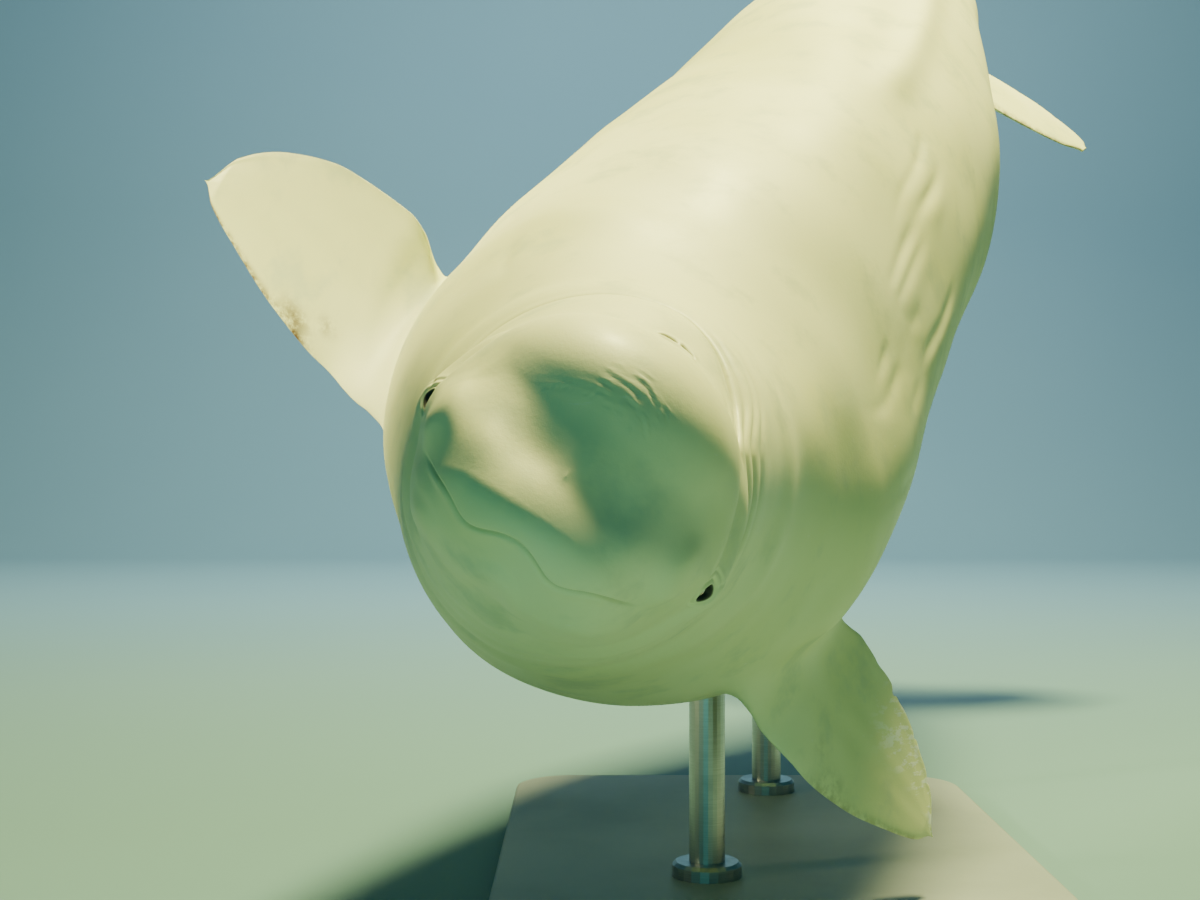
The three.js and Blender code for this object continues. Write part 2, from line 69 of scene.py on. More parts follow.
# Head: ellipsoids by centre (along, rise) and half sizes (along, side, rise)
MELON = (200, 50, (150, 150, 118))
MELON_FOOT = (178, -8, (120, 138, 76))
BEAK = (118, -82, (112, 96, 34))
LOWER_JAW = (158, -112, (138, 132, 57))
CHEEKS = (172, -50, (108, 148, 90))
LIP_FRONT, LIP_SWEEP, LIP_REACH, LIP_RADIUS = 36, 134, 168, 31
LIP_THIN_FROM, LIP_THIN, LIP_END, LIP_FADE = 80, 0.52, 142, 44
BLEND, FOLD_BLEND, FOLD_RISE, FOLD_WIDTH = 30, 40, -34, 60
HUB_ALONG, HUB_RISE, HUB_EASE = 160, -75, 250
HEAD_BLEND_END = 420

# Face lines
CREASE_RISE, CREASE_LIFT = -50, 0.0022
MOUTH_RISE, MOUTH_DIP, MOUTH_LOBE, MOUTH_LOBE_WIDTH = -104, 14, 50, 28
MOUTH_LIFT_FROM, MOUTH_LIFT, MOUTH_CORNER = 60, 0.0037, 150
EYE_ALONG, EYE_SIDE, EYE_RISE = 258, 178, -27
EYEBALL_HALF = (16.5, 10.2, 13.5)
LID_HALF = (17, 10.5)
BLOWHOLE_ALONG, BLOWHOLE_HALF, BLOWHOLE_ARCH = 352, 24, 9
RIDGE_HEIGHT, RIDGE_WIDTH, RIDGE_SPAN = 15, 42, (1750, 2950, 350, 400)
NAPE_DEPTH, NAPE_WIDTH, NAPE_SPAN = 11, 26, (-120, 52, 30)
# The nape's crease: its place along, against degrees round from the back (to the left above zero)
NAPE_CREASE = [
    (-130, 430), (-89, 495), (-60, 545), (-30, 556), (-8, 540), (3, 492), (16, 428), (28, 385), (46, 310),
]

# Flippers: edges in shares of the length, against the share of the way out
FLIPPER_FRONT = [
    (0, -0.24), (0.12, -0.24), (0.3, -0.235), (0.55, -0.185), (0.78, -0.1), (0.93, -0.03), (1, 0.03),
]
FLIPPER_BACK = [(0, 0.2), (0.12, 0.3), (0.3, 0.4), (0.55, 0.385), (0.78, 0.3), (0.93, 0.17), (1, 0.03)]
FLIPPER_LENGTH, FLIPPER_THICK, FLIPPER_INSET, FLIPPER_SUNK, FLIPPER_TURN_BY = 492, 34, 60, 10, 0.3
# Each flipper's root, its turns in degrees and its curl in shares of the length
RIGHT_FLIPPER = dict(side=-1, along=1120, rise=-153, sweep=12, droop=1, root=66, blade=84, curl=0.054)
LEFT_FLIPPER = dict(side=1, along=991, rise=-130, sweep=29.5, droop=29.5, root=28, blade=20, curl=0.143)

# Flukes: place of the front and back edges along the body, against the share of the half span
FLUKE_FRONT = [(0, 3740), (0.15, 3770), (0.4, 3822), (0.7, 3905), (0.9, 3985), (1, 4062)]
FLUKE_BACK = [(0, 4080), (0.1, 4125), (0.35, 4192), (0.6, 4222), (0.85, 4204), (0.95, 4172), (1, 4122)]
FLUKE_SPAN, FLUKE_THICK, FLUKE_HINGE, FLUKE_TILT = 490, 64, 4060, 0.17

CAMERA_AT = (-0.311, -3.328, 0.799)
CAMERA_TURN = (90, 0, 0)
CAMERA_LENS, CAMERA_SENSOR = 50.39, 36
CAMERA_NEAR, CAMERA_FAR = 0.05, 100


# Curves and small helpers


def curve(pairs):
    """A curve through (place, value) pairs that never overshoots them."""
    at, value = np.array(pairs, float).T
    step = np.diff(at)
    rate = np.diff(value) / step
    slope = np.zeros(len(at))
    before, after = 2 * step[1:] + step[:-1], step[1:] + 2 * step[:-1]
    same = rate[:-1] * rate[1:] > 0
    first, second = np.where(same, rate[:-1], 1), np.where(same, rate[1:], 1)
    slope[1:-1] = np.where(same, (before + after) / (before / first + after / second), 0)

    def read(x):
        x = np.clip(x, at[0], at[-1])
        i = np.clip(np.searchsorted(at, x) - 1, 0, len(step) - 1)
        t = (x - at[i]) / step[i]
        rest = 1 - t
        ends = value[i] * (1 + 2 * t) * rest**2 + value[i + 1] * (3 - 2 * t) * t * t
        return ends + step[i] * t * rest * (slope[i] * rest - slope[i + 1] * t)

    return read


def ease(x):
    """0 up to zero, 1 from one on, smooth between."""
    t = np.clip(x, 0, 1)
    return t * t * t * (t * (6 * t - 15) + 10)


def bell(x, width):
    """A smooth hump, 1 at zero."""
    return np.exp(-((x / width) ** 2))


def hump(x, place, width):
    """A smooth hump, 1 at its place."""
    return bell(x - place, width)


def since(x, start, width):
    """0 before a place, rising to 1 over a width after it."""
    return ease((x - start) / width)


def until(x, stop, width):
    """1 before a place, falling to 0 over the width that ends there."""
    return ease((stop - x) / width)


def between(x, start, stop, ease_in, ease_out=None):
    """1 inside a stretch and 0 outside it, smooth at both ends."""
    return since(x, start, ease_in) * until(x, stop, ease_out or ease_in)


half_width, top_line, bottom_line = (curve([(row[0], row[k]) for row in SECTIONS]) for k in (1, 2, 3))
nape_crease = curve(NAPE_CREASE)


def unit(vectors):
    return vectors / np.linalg.norm(vectors, axis=-1, keepdims=True)


def turned_frame(ahead, roll):
    """Left and up for directions, rolled about them."""
    left = unit(np.cross([0, 0, 1.0], ahead))
    up = np.cross(ahead, left)
    turn = np.asarray(roll)[..., None]
    rolled = left * np.cos(turn) + up * np.sin(turn)
    return rolled, np.cross(ahead, rolled)


def lay_out_spine():
    """The spine's points and its left and up directions, every SPINE_STEP, with the waist at zero."""
    place = np.arange(0, SPINE_END + SPINE_STEP, SPINE_STEP)
    turns = (PITCH_TURNS, YAW_TURNS, ROLL_TURNS)
    pitch, yaw, roll = (np.radians(curve(pairs)(place)) for pairs in turns)
    level = np.cos(pitch)
    ahead = np.stack([level * np.cos(yaw), level * np.sin(yaw), np.sin(pitch)], -1)
    left, up = turned_frame(ahead, roll)
    steps = (ahead[1:] + ahead[:-1]) * SPINE_STEP / 2
    at = -np.concatenate([[np.zeros(3)], np.cumsum(steps, axis=0)])
    return place, at - at[WAIST // SPINE_STEP], ahead, left, up


def room_turn():
    """The trunk's turn in the room: heading from -Y, then dive of the nose, then bank."""
    heading, dive = math.radians(HEADING), math.radians(DIVE)
    level = math.cos(dive)
    ahead = np.array([math.sin(heading) * level, -math.cos(heading) * level, math.sin(dive)])
    left, up = turned_frame(ahead, math.radians(BANK))
    return np.stack([ahead, left, up])


SPINE, SPINE_AT, SPINE_AHEAD, SPINE_LEFT, SPINE_UP = lay_out_spine()
ROOM = room_turn()


def bend(points):
    """From the straight body, in millimetres, to the bent one in the room, in metres."""
    along, side, rise = np.moveaxis(np.asarray(points, float), -1, 0)

    def read(rows):
        return np.stack([np.interp(along, SPINE, rows[:, k]) for k in range(3)], -1)

    placed = read(SPINE_AT) + read(SPINE_LEFT) * side[..., None] + read(SPINE_UP) * rise[..., None]
    placed += read(SPINE_AHEAD) * np.maximum(0, -along)[..., None]
    return (placed @ ROOM + WAIST_AT) * MM


# The whale's form: each of these distances is below zero inside and above zero outside


def outside_ellipsoid(form, along, side, rise):
    centre, height, (a, b, c) = form
    share = np.sqrt(((along - centre) / a) ** 2 + (side / b) ** 2 + ((rise - height) / c) ** 2)
    return (share - 1) * min(a, b, c)


def outside_section(along, side, rise):
    top, bottom, wide = top_line(along), bottom_line(along), half_width(along)
    high = (top - bottom) / 2
    share = np.hypot(side / wide, (rise - (top + bottom) / 2) / high)
    return (share - 1) * np.minimum(wide, high) + np.maximum(0, FIRST_SECTION - along)


def blend_solids(first, second, width=BLEND):
    share = np.maximum(0, width - np.abs(first - second)) / width
    return np.minimum(first, second) - share * share * width / 4


def mouth_rise(side):
    out = np.abs(side)
    lobes = MOUTH_DIP * bell(out - MOUTH_LOBE, MOUTH_LOBE_WIDTH)
    return MOUTH_RISE - lobes + MOUTH_LIFT * np.maximum(0, out - MOUTH_LIFT_FROM) ** 2


def crease_rise(side):
    return CREASE_RISE + CREASE_LIFT * side * side


def outside_lip_roll(along, side, rise):
    """The upper lip, a roll that runs round the melon from one cheek to the other."""
    out = np.abs(side)
    share = out / LIP_REACH
    lean = 2 * LIP_SWEEP * share / LIP_REACH
    behind = (along - LIP_FRONT - LIP_SWEEP * share * share) / np.hypot(1, lean)
    above = rise - (crease_rise(side) + mouth_rise(side)) / 2
    thinner = 1 - LIP_THIN * ease((out - LIP_THIN_FROM) / (LIP_END - LIP_THIN_FROM))
    radius = LIP_RADIUS * thinner - LIP_FADE * ease((out - LIP_END) / LIP_FADE)
    return np.hypot(behind, above) - radius


def nape_fold(along, side, rise):
    """The wide dip where the head turns up from the neck."""
    around = np.degrees(np.arctan2(side, rise))
    return NAPE_DEPTH * bell(along - nape_crease(around), NAPE_WIDTH) * between(around, *NAPE_SPAN)


def back_ridge(along, side, rise):
    """The low ridge that a beluga has in place of a back fin."""
    length = between(along, *RIDGE_SPAN)
    return np.where(rise > 0, RIDGE_HEIGHT * bell(side, RIDGE_WIDTH) * length, 0)


def outside_body(along, side, rise):
    away = outside_section(along, side, rise)
    head = along < HEAD_BLEND_END
    near = (along[head], side[head], rise[head])
    face = away[head]
    for form in (LOWER_JAW, CHEEKS, BEAK):
        face = blend_solids(face, outside_ellipsoid(form, *near))
    face = blend_solids(face, outside_lip_roll(*near))
    melon = blend_solids(outside_ellipsoid(MELON, *near), outside_ellipsoid(MELON_FOOT, *near))
    away[head] = blend_solids(face, melon, BLEND + FOLD_BLEND * bell(near[2] - FOLD_RISE, FOLD_WIDTH))
    return away + nape_fold(along, side, rise) - back_ridge(along, side, rise)


LONGEST_REACH, HALVINGS = 620.0, 13


def leave(start, way):
    """Where lines from inside the body leave it, found by halving and one straight step."""
    low, high = np.zeros(way.shape[:-1]), np.full(way.shape[:-1], LONGEST_REACH)

    def away(distance):
        return outside_body(*np.moveaxis(start + way * distance[..., None], -1, 0))

    for _ in range(HALVINGS):
        middle = (low + high) / 2
        out = away(middle) > 0
        high, low = np.where(out, middle, high), np.where(out, low, middle)
    inside, outside = away(low), away(high)
    return low - inside * (high - low) / (outside - inside)


# Where the skin's rings and their points lie: the nose's dome, then rings along the body

DOME_RINGS, DOME_START = 140, 0.997
# From, to and step along the body
RING_STEPS = [
    (160, 240, 2.0), (240, 300, 1.2), (300, 430, 2.2), (430, 560, 2.5),
    (560, 760, 5), (760, 1400, 8), (1400, 3700, 13), (3700, STOCK_END, 6),
]
SIDES, TURN_SAMPLES = 720, 20001
EYE_TURN, EYE_TURN_WIDTH, EYE_TURN_EXTRA = 0.137, 0.13, 1.6


def ring_turns():
    """Turns round the body, closer together where the eyes are."""
    fine = np.linspace(0, 2 * math.pi, TURN_SAMPLES)
    eyes = (EYE_TURN, math.pi - EYE_TURN, 2 * math.pi + EYE_TURN)
    density = 1 + EYE_TURN_EXTRA * sum(bell(fine - turn, EYE_TURN_WIDTH) for turn in eyes)
    total = np.concatenate([[0], np.cumsum((density[1:] + density[:-1]) / 2)])
    return np.interp(np.arange(SIDES) / SIDES, total / total[-1], fine)


def skin_rays():
    """Start points and directions of the lines from inside the body through every point of the skin."""
    bow = np.linspace(DOME_START, 0, DOME_RINGS + 1)[:-1] * math.pi / 2
    barrel = np.concatenate([np.arange(a, b, step) for a, b, step in RING_STEPS] + [[STOCK_END]])
    ahead = np.concatenate([np.sin(bow), np.zeros(len(barrel))])[:, None]
    along = np.concatenate([np.full(len(bow), HUB_ALONG), barrel])
    middle = (top_line(along) + bottom_line(along)) / 2
    rise = HUB_RISE + (middle - HUB_RISE) * ease((along - HUB_ALONG) / HUB_EASE)
    turn = ring_turns()[None, :]
    out = np.sqrt(1 - ahead**2)
    way = np.stack(np.broadcast_arrays(-ahead, out * np.cos(turn), out * np.sin(turn)), -1)
    start = np.stack([along, np.zeros(len(along)), rise], -1)[:, None, :]
    return np.broadcast_to(start, way.shape), way


def grid_normals(points):
    """Outward normals of a grid of rings."""
    down = np.gradient(points, axis=0)
    around = np.roll(points, -1, axis=1) - np.roll(points, 1, axis=1)
    return unit(np.cross(around, down))


# Folds, lips, lids and wrinkles, as heights over the plain form in millimetres. The named values
# of each stand before the function that reads them.


def ripple(line, rows):
    """Ridges and furrows across a line, from rows of height, place and width."""
    return sum(height * hump(line, place, width) for height, place, width in rows)


WAVE_COUNT, WAVE_SIZES = 7, (0.8, 1.6)


def waves(points, size, seed):
    """Soft irregular swells about one unit high and one size long."""
    chance = np.random.default_rng(seed)
    total = 0
    for _ in range(WAVE_COUNT):
        way = unit(chance.normal(size=3)) * 2 * math.pi / (size * chance.uniform(*WAVE_SIZES))
        total = total + np.sin(points @ way + chance.uniform(0, 2 * math.pi))
    return total / math.sqrt(WAVE_COUNT / 2)


def patchy(points, size, seed, middle, swing, low, high):
    """A strength that wanders softly between two limits."""
    return np.clip(middle + swing * waves(points, size, seed), low, high)


MOUTH_END, MOUTH_BACK = (MOUTH_CORNER - 6, 40), (215, 20)


def mouth_line(p):
    """Height over the mouth line, and how much the line shows there."""
    along, side, rise = p
    slope = (mouth_rise(side + 1) - mouth_rise(side - 1)) / 2
    over = (rise - mouth_rise(side)) / np.hypot(1, slope)
    return over, until(np.abs(side), *MOUTH_END) * until(along, *MOUTH_BACK)


# The gap between the lips, the lower lip and the dip under it: height, place over the line, width
LIP_ROWS = [(-2.2, -1.6, 1.4), (1.2, -6, 3.5), (-1.0, -17, 9)]
UPPER_LIP, UPPER_LIP_FROM, UPPER_LIP_FULL, UPPER_LIP_WIDTH = 2.2, (-1.2, 2.6), 4, 20
# The middle of the upper lip is pared a little
LIP_PARING, PARING_WIDTH, PARING_UP, PARING_BACK = 1.5, 9, (-14, 24), 100


def lips(p):
    over, shows = mouth_line(p)
    along, side, rise = p
    upper = UPPER_LIP * since(over, *UPPER_LIP_FROM)
    upper = upper * bell(np.maximum(0, over - UPPER_LIP_FULL), UPPER_LIP_WIDTH)
    paring = LIP_PARING * bell(side, PARING_WIDTH) * hump(rise, *PARING_UP)
    return (ripple(over, LIP_ROWS) + upper) * shows - np.where(along < PARING_BACK, paring, 0)


CORNER_SIDE, CORNER_LIFT, CORNER_DEPTH, CORNER_WIDTH = MOUTH_CORNER - 4, 2, 0.8, 12
CHEEK_AT, CHEEK_HEIGHT, CHEEK_WIDTH, CHEEK_BACK = (114, 146, -60), 4.5, 26, 230


def mouth_corners(p):
    """A small hollow at each corner of the mouth, and the full cheek over it."""
    along, side, rise = p
    out = np.abs(side)
    corner = np.hypot(out - CORNER_SIDE, rise - mouth_rise(MOUTH_CORNER) - CORNER_LIFT)
    cheek = np.linalg.norm(np.stack([along, out, rise], -1) - CHEEK_AT, axis=-1)
    height = CHEEK_HEIGHT * bell(cheek, CHEEK_WIDTH) - CORNER_DEPTH * bell(corner, CORNER_WIDTH)
    return np.where(along < CHEEK_BACK, height, 0)


# Two folds under the chin: height, place over the mouth line, width
CHIN_ROWS = [(-1.9, -30, 7), (1.8, -44, 9), (-1.9, -62, 8), (1.5, -78, 11)]
CHIN_TOP, CHIN_BACK, CHIN_SIDE = (-70, 30), (300, 60), (150, 40)


def chin_folds(p):
    """Faint folds that follow the mouth under the chin."""
    over, _ = mouth_line(p)
    along, side, rise = p
    shows = until(rise, *CHIN_TOP) * until(along, *CHIN_BACK) * until(np.abs(side), *CHIN_SIDE)
    return ripple(over, CHIN_ROWS) * shows


# Place under the throat, shift backwards at the sides, depth, width
THROAT_FOLDS = [(215, 40, 0.9, 10), (275, 60, 1.4, 14), (362, 60, 2.2, 18), (478, 40, 2.6, 22)]
# Each fold's furrow and the roll behind it: height, place, width, in shares of the fold's own
THROAT_SHAPE = [(-1, 0, 1), (0.8, 2.2, 1.6)]
THROAT_END = (2.0, 0.9)


def throat_folds(p):
    """Folds across the throat that end under the eyes."""
    along, side, rise = p
    around = np.arctan2(np.abs(side), -rise)
    total = 0
    for place, shift, deep, wide in THROAT_FOLDS:
        line = along - place - shift * (1 - np.cos(around))
        total = total + deep * ripple(line / wide, THROAT_SHAPE)
    return total * until(around, *THROAT_END)


NAPE_LINES = [
    # place behind the crease, depth, width, from turn, to turn in degrees
    (0, 8.0, 5.5, -118, 54),
    (30, 3.0, 7.5, -4, 74),
    (68, 3.6, 9.0, 12, 96),
    (118, 2.4, 13, 6, 88),
    (-30, 2.2, 6.5, 4, 58),
    (-62, 2.0, 8.0, 16, 66),
]
NAPE_SHAPE = [(-1, 0, 1), (0.5, 2.6, 2.2), (0.25, -2.6, 2)]
NAPE_LINE_EASE = 20


def nape_strokes(p):
    """For each line of the nape: distance from it, its depth and width, and how much it shows."""
    along, side, rise = p
    around = np.degrees(np.arctan2(side, rise))
    behind = along - nape_crease(around)
    for place, deep, wide, start, stop in NAPE_LINES:
        yield behind - place, deep, wide, between(around, start, stop, NAPE_LINE_EASE)


def nape_lines(p):
    """The crease where the head turns up from the neck, and the folds beside it on the left."""
    return sum(deep * shows * ripple(line / wide, NAPE_SHAPE) for line, deep, wide, shows in nape_strokes(p))


NECK_FOLDS = [
    # height, start of the waves, their length, middle and reach along, middle and reach round
    (5.0, 560, 24, 600, 75, 1.5, 0.75),
    (3.6, 540, 30, 590, 80, -1.45, 0.8),
]
NECK_LEAN = 60


def neck_folds(p):
    """Wide soft folds of the neck behind the head."""
    along, side, rise = p
    around = np.arctan2(side, rise)
    reach = along - NECK_LEAN * np.cos(around)
    total = 0
    for high, start, length, middle, wide, turn, spread in NECK_FOLDS:
        rows = np.sin((reach - start) / length) * hump(reach, middle, wide)
        total = total + high * rows * hump(around, turn, spread)
    return total


BROW_WRINKLES = [
    # side, rise, half length, lean, depth
    (-66, 44, 14, 0.35, 0.6), (-52, 52, 16, 0.3, 0.8), (-44, 62, 16, 0.2, 0.7), (-34, 56, 14, 0.12, 0.9),
    (-26, 68, 18, 0.08, 1.0), (-14, 60, 14, -0.05, 1.1), (-12, 78, 20, 0.0, 1.2), (0, 69, 16, -0.15, 1.4),
    (4, 88, 20, -0.12, 1.2), (12, 61, 12, -0.3, 1.3), (16, 76, 18, -0.3, 1.6), (22, 95, 18, -0.25, 1.3),
    (26, 67, 13, -0.45, 1.6), (30, 84, 16, -0.4, 1.7), (36, 74, 12, -0.5, 1.6), (40, 93, 14, -0.4, 1.3),
    (46, 82, 11, -0.5, 1.4), (-22, 88, 18, 0.05, 0.7), (-2, 100, 20, -0.05, 0.8), (50, 70, 9, -0.5, 1.1),
    (14, 106, 18, -0.15, 0.6),
]
BROW_SHAPE = [(-1, 0, 1.3), (0.8, 2.6, 2.0)]
BROW_STRENGTH, BROW_BOW, BROW_BACK = 0.85, 0.004, 220
BROW_STRAY, BROW_STRAY_WAVES = 1.3, dict(size=34, seed=21)
BROW_PATCHY = dict(size=20, seed=22, middle=0.8, swing=0.5, low=0, high=1.4)


def brow_wrinkles(p):
    """Short fine wrinkles across the melon's brow."""
    along, side, rise = p
    points = np.stack(p, -1)
    stray = BROW_STRAY * waves(points, **BROW_STRAY_WAVES)
    strength = BROW_STRENGTH * patchy(points, **BROW_PATCHY)
    total = 0
    for centre, height, half, lean, deep in BROW_WRINKLES:
        across = side - centre
        over = rise - height - lean * across + BROW_BOW * across**2 + stray
        total = total + deep * strength * bell(across, half) * ripple(over, BROW_SHAPE)
    return np.where(along < BROW_BACK, total, 0)


SLIT_DEPTH, SLIT_WIDTH, SLIT_END = 7, 2.6, (1.15, 0.3)
PLUG_ACROSS, PLUG_ALONG, PLUG_CUT, PLUG_HEIGHT = (1, 6), (2, 5), 0.9, 2.2
RIM_HEIGHT, RIM_ALONG, RIM_END = 2.6, (9, 6), (1.5, 0.7)
BOWL_DEPTH, BOWL_SQUEEZE, BOWL_WIDTH, CROWN_FROM = 3.2, 0.9, 34, 300


def slit_place(p):
    """Distance across the blowhole's slit, share of its half length, its plug and where the crown is."""
    along, side, rise = p
    share = np.abs(side / BLOWHOLE_HALF)
    line = along - BLOWHOLE_ALONG - BLOWHOLE_ARCH * (1 - share**2)
    return line, share, hump(side, *PLUG_ACROSS), (rise > 0) & (along > CROWN_FROM)


def blowhole(p):
    """A crescent slit, with a plug between its two ends and a soft rim."""
    line, share, plug, crown = slit_place(p)
    slit = -SLIT_DEPTH * bell(line, SLIT_WIDTH) * until(share, *SLIT_END) * (1 - PLUG_CUT * plug)
    rim = RIM_HEIGHT * hump(np.abs(line), *RIM_ALONG) * until(share, *RIM_END)
    bowl = -BOWL_DEPTH * bell(np.hypot(line, p[1] * BOWL_SQUEEZE), BOWL_WIDTH)
    lump = PLUG_HEIGHT * plug * hump(line, *PLUG_ALONG)
    return np.where(crown, slit + rim + bowl + lump, 0)


LID_LEAN, LID_ROUNDNESS, LID_NEAR_SIDE, LID_NEAR_ALONG = 0.14, 1.8, 120, 140


def eye_place(p):
    """How far from the eye's middle, in shares of the opening, and whether the point is by an eye."""
    along, side, rise = p
    ahead = along - EYE_ALONG
    across = np.abs(ahead / LID_HALF[0])
    high = np.abs((rise - EYE_RISE - LID_LEAN * ahead) / LID_HALF[1])
    share = (across**LID_ROUNDNESS + high**LID_ROUNDNESS) ** (1 / LID_ROUNDNESS)
    return share, (np.abs(side) > LID_NEAR_SIDE) & (np.abs(ahead) < LID_NEAR_ALONG)


OPENING_DEPTH, OPENING_EDGE = 8, (1.0, 0.22)
# The lids' rim, the creases round it and the wide socket: height, place and width in shares
LID_ROWS = [(2.6, 1.22, 0.24), (-1.7, 1.75, 0.2), (1.0, 2.15, 0.3), (2.0, 1.2, 2.0)]
UPPER_LID_ROWS = [(-0.9, 2.7, 0.2), (0.6, 3.1, 0.3)]
UPPER_LID_FROM = (-20, 25)
# The swell behind the eye and the hollow ahead of it: height, place back and up, width
SOCKET_SWELLS = [(10, 38, 6, 34), (-4.5, -36, 0, 26)]
SOCKET_SQUEEZE = 0.8
# The lines at the eye's two corners: height, slope, width, place back, reach
CORNER_LINES = [(-1.5, 0.5, 3.5, 40, 16), (-1.5, -0.35, 3.5, -36, 14)]


def lids(p):
    """The eye's opening, its two lids and the wrinkles round them."""
    share, near = eye_place(p)
    back, up = p[0] - EYE_ALONG, p[2] - EYE_RISE
    total = ripple(share, LID_ROWS) - OPENING_DEPTH * until(share, *OPENING_EDGE)
    total = total + ripple(share, UPPER_LID_ROWS) * since(up, *UPPER_LID_FROM)
    for high, behind, over, wide in SOCKET_SWELLS:
        total = total + high * bell(np.hypot(back - behind, SOCKET_SQUEEZE * (up - over)), wide)
    for high, slope, wide, behind, reach in CORNER_LINES:
        total = total + high * bell(up - slope * back, wide) * hump(back, behind, reach)
    return np.where(near, total, 0)


CHEEK_FOLD_ROWS = [(6.5, 0, 26), (-2.6, -48, 20)]
CHEEK_FOLD_ALONG, CHEEK_FOLD_BOW, CHEEK_FOLD_BOW_TURN = 318, 55, 1.6
CHEEK_FOLD_SPAN = (0.35, 2.35, 0.5)


def cheek_fold(p):
    """A wide ridge that runs down behind the eye and along the jaw."""
    along, side, rise = p
    around = np.arctan2(np.abs(side), -rise)
    line = along - CHEEK_FOLD_ALONG + CHEEK_FOLD_BOW * (1 - np.cos(around - CHEEK_FOLD_BOW_TURN))
    return between(around, *CHEEK_FOLD_SPAN) * ripple(line, CHEEK_FOLD_ROWS)


FLANK_CREASES = [
    # turn in degrees from the back, from along, to along, depth, width, turn gained over a metre
    (22, 1480, 2080, 4.0, 11, -22),
    (31, 1250, 1900, 5.5, 13, -16),
    (40, 1080, 1700, 4.5, 12, -20),
    (47, 980, 1500, 5.0, 14, -12),
    (55, 1180, 1760, 4.0, 13, -18),
    (64, 820, 1350, 3.0, 15, 10),
    (41, 860, 1010, 1.6, 5, 4),
    (76, 1300, 1950, 3.0, 16, 6),
    (-62, 700, 1300, 2.4, 16, -12),
    (-75, 1200, 1900, 2.6, 17, -6),
    (-100, 1500, 2200, 2.4, 18, 4),
    (100, 1450, 2150, 2.6, 17, 5),
]
FLANK_SHAPE = [(-1, 0, 1), (0.6, 2.1, 1.7)]
FLANK_STRENGTH, FLANK_EASES = 0.55, (160, 200)
FLANK_STRAY, FLANK_STRAY_WAVES = 9, dict(size=420, seed=31)
FLANK_PATCHY = dict(size=180, seed=32, middle=0.75, swing=0.5, low=0.1, high=1.4)


def flank_creases(p):
    """Long soft folds that run along the flanks, wavy and uneven."""
    along, side, rise = p
    around = np.degrees(np.arctan2(side, rise))
    girth = np.hypot(side, rise) * math.pi / 180
    points = np.stack(p, -1)
    stray = FLANK_STRAY * waves(points, **FLANK_STRAY_WAVES)
    strength = FLANK_STRENGTH * patchy(points, **FLANK_PATCHY)
    total = 0
    for turn, start, stop, deep, wide, lean in FLANK_CREASES:
        line = (around - turn - lean * MM * (along - start)) * girth + stray
        shows = between(along, start, stop, *FLANK_EASES)
        total = total + deep * strength * shows * ripple(line / wide, FLANK_SHAPE)
    return total


# Height, squeeze along the body, size, seed
SWELLS = [(5.0, 0.6, 430, 3), (1.8, 0.7, 210, 8)]
SWELLS_SPAN = (520, STOCK_END - 300, 400, 900)


def swells(p):
    """Fat that lies in soft swells under the skin of the trunk."""
    points = np.stack(p, -1)
    wide = sum(high * waves(points * [squeeze, 1, 1], size, seed) for high, squeeze, size, seed in SWELLS)
    return wide * between(p[0], *SWELLS_SPAN)


# Strengths, places and widths of the shade painted into the mouth line, the blowhole's slit, the lids' edges
# and the nape lines
MOUTH_SHADE, MOUTH_SHADE_AT = 0.3, (-1.6, 1.2)
SLIT_SHADE_WIDTH, SLIT_SHADE_END, SLIT_SHADE_PLUG, LID_SHADE_EDGE = 2.4, (1.05, 0.3), 0.95, (1.28, 0.2)
NAPE_SHADE, NAPE_SHADE_WIDTH = 0.035, 0.9


def hollows(p):
    """Painted shade in the narrow places: how dark the mouth line, the blowhole's slit, the lids' edges and
    the nape lines are coloured.
    """
    over, shows = mouth_line(p)
    mouth = MOUTH_SHADE * hump(over, *MOUTH_SHADE_AT) * shows
    line, share, plug, crown = slit_place(p)
    slit = bell(line, SLIT_SHADE_WIDTH) * until(share, *SLIT_SHADE_END) * crown
    slit = slit * (1 - SLIT_SHADE_PLUG * plug)
    from_eye, near = eye_place(p)
    eye = np.where(near, until(from_eye, *LID_SHADE_EDGE), 0)
    nape = 0
    for across, deep, wide, seen in nape_strokes(p):
        nape = nape + NAPE_SHADE * deep * seen * bell(across, NAPE_SHADE_WIDTH * wide)
    return np.clip(mouth + slit + eye + nape, 0, 1)


HEAD_FEATURES = (
    lips, mouth_corners, chin_folds, throat_folds, nape_lines, brow_wrinkles, blowhole, lids, cheek_fold,
)
HEAD_FEATURES_END = 900


def shape_skin():
    """Points of the skin on the straight body, and how much shade is painted on each."""
    start, way = skin_rays()
    points = start + way * leave(start, way)[..., None]
    out = grid_normals(points)
    p = np.moveaxis(points, -1, 0)
    height = swells(p) + flank_creases(p) + neck_folds(p)
    head = int(np.argmax(start[:, 0, 0] > HEAD_FEATURES_END))
    q = tuple(axis[:head] for axis in p)
    for feature in HEAD_FEATURES:
        height[:head] += feature(q)
    # Shade painted into the mouth line, blowhole slit, eye openings and nape lines
    dark = np.zeros(height.shape)
    dark[:head] = hollows(q)
    return points + out * height[..., None], dark


# Meshes


def ring_faces(rings, sides):
    """Quads between closed rings, and a fan of triangles at each end round two extra points."""
    i, j = np.meshgrid(np.arange(rings - 1), np.arange(sides), indexing="ij")
    a, b = i * sides + j, i * sides + (j + 1) % sides
    quads = np.stack([a, b, b + sides, a + sides], -1).reshape(-1, 4)
    here = np.arange(sides)
    beyond = (here + 1) % sides
    first, last = rings * sides, (rings - 1) * sides
    start = np.stack([np.full(sides, first), beyond, here], -1)
    end = np.stack([np.full(sides, first + 1), last + here, last + beyond], -1)
    return quads, np.concatenate([start, end])


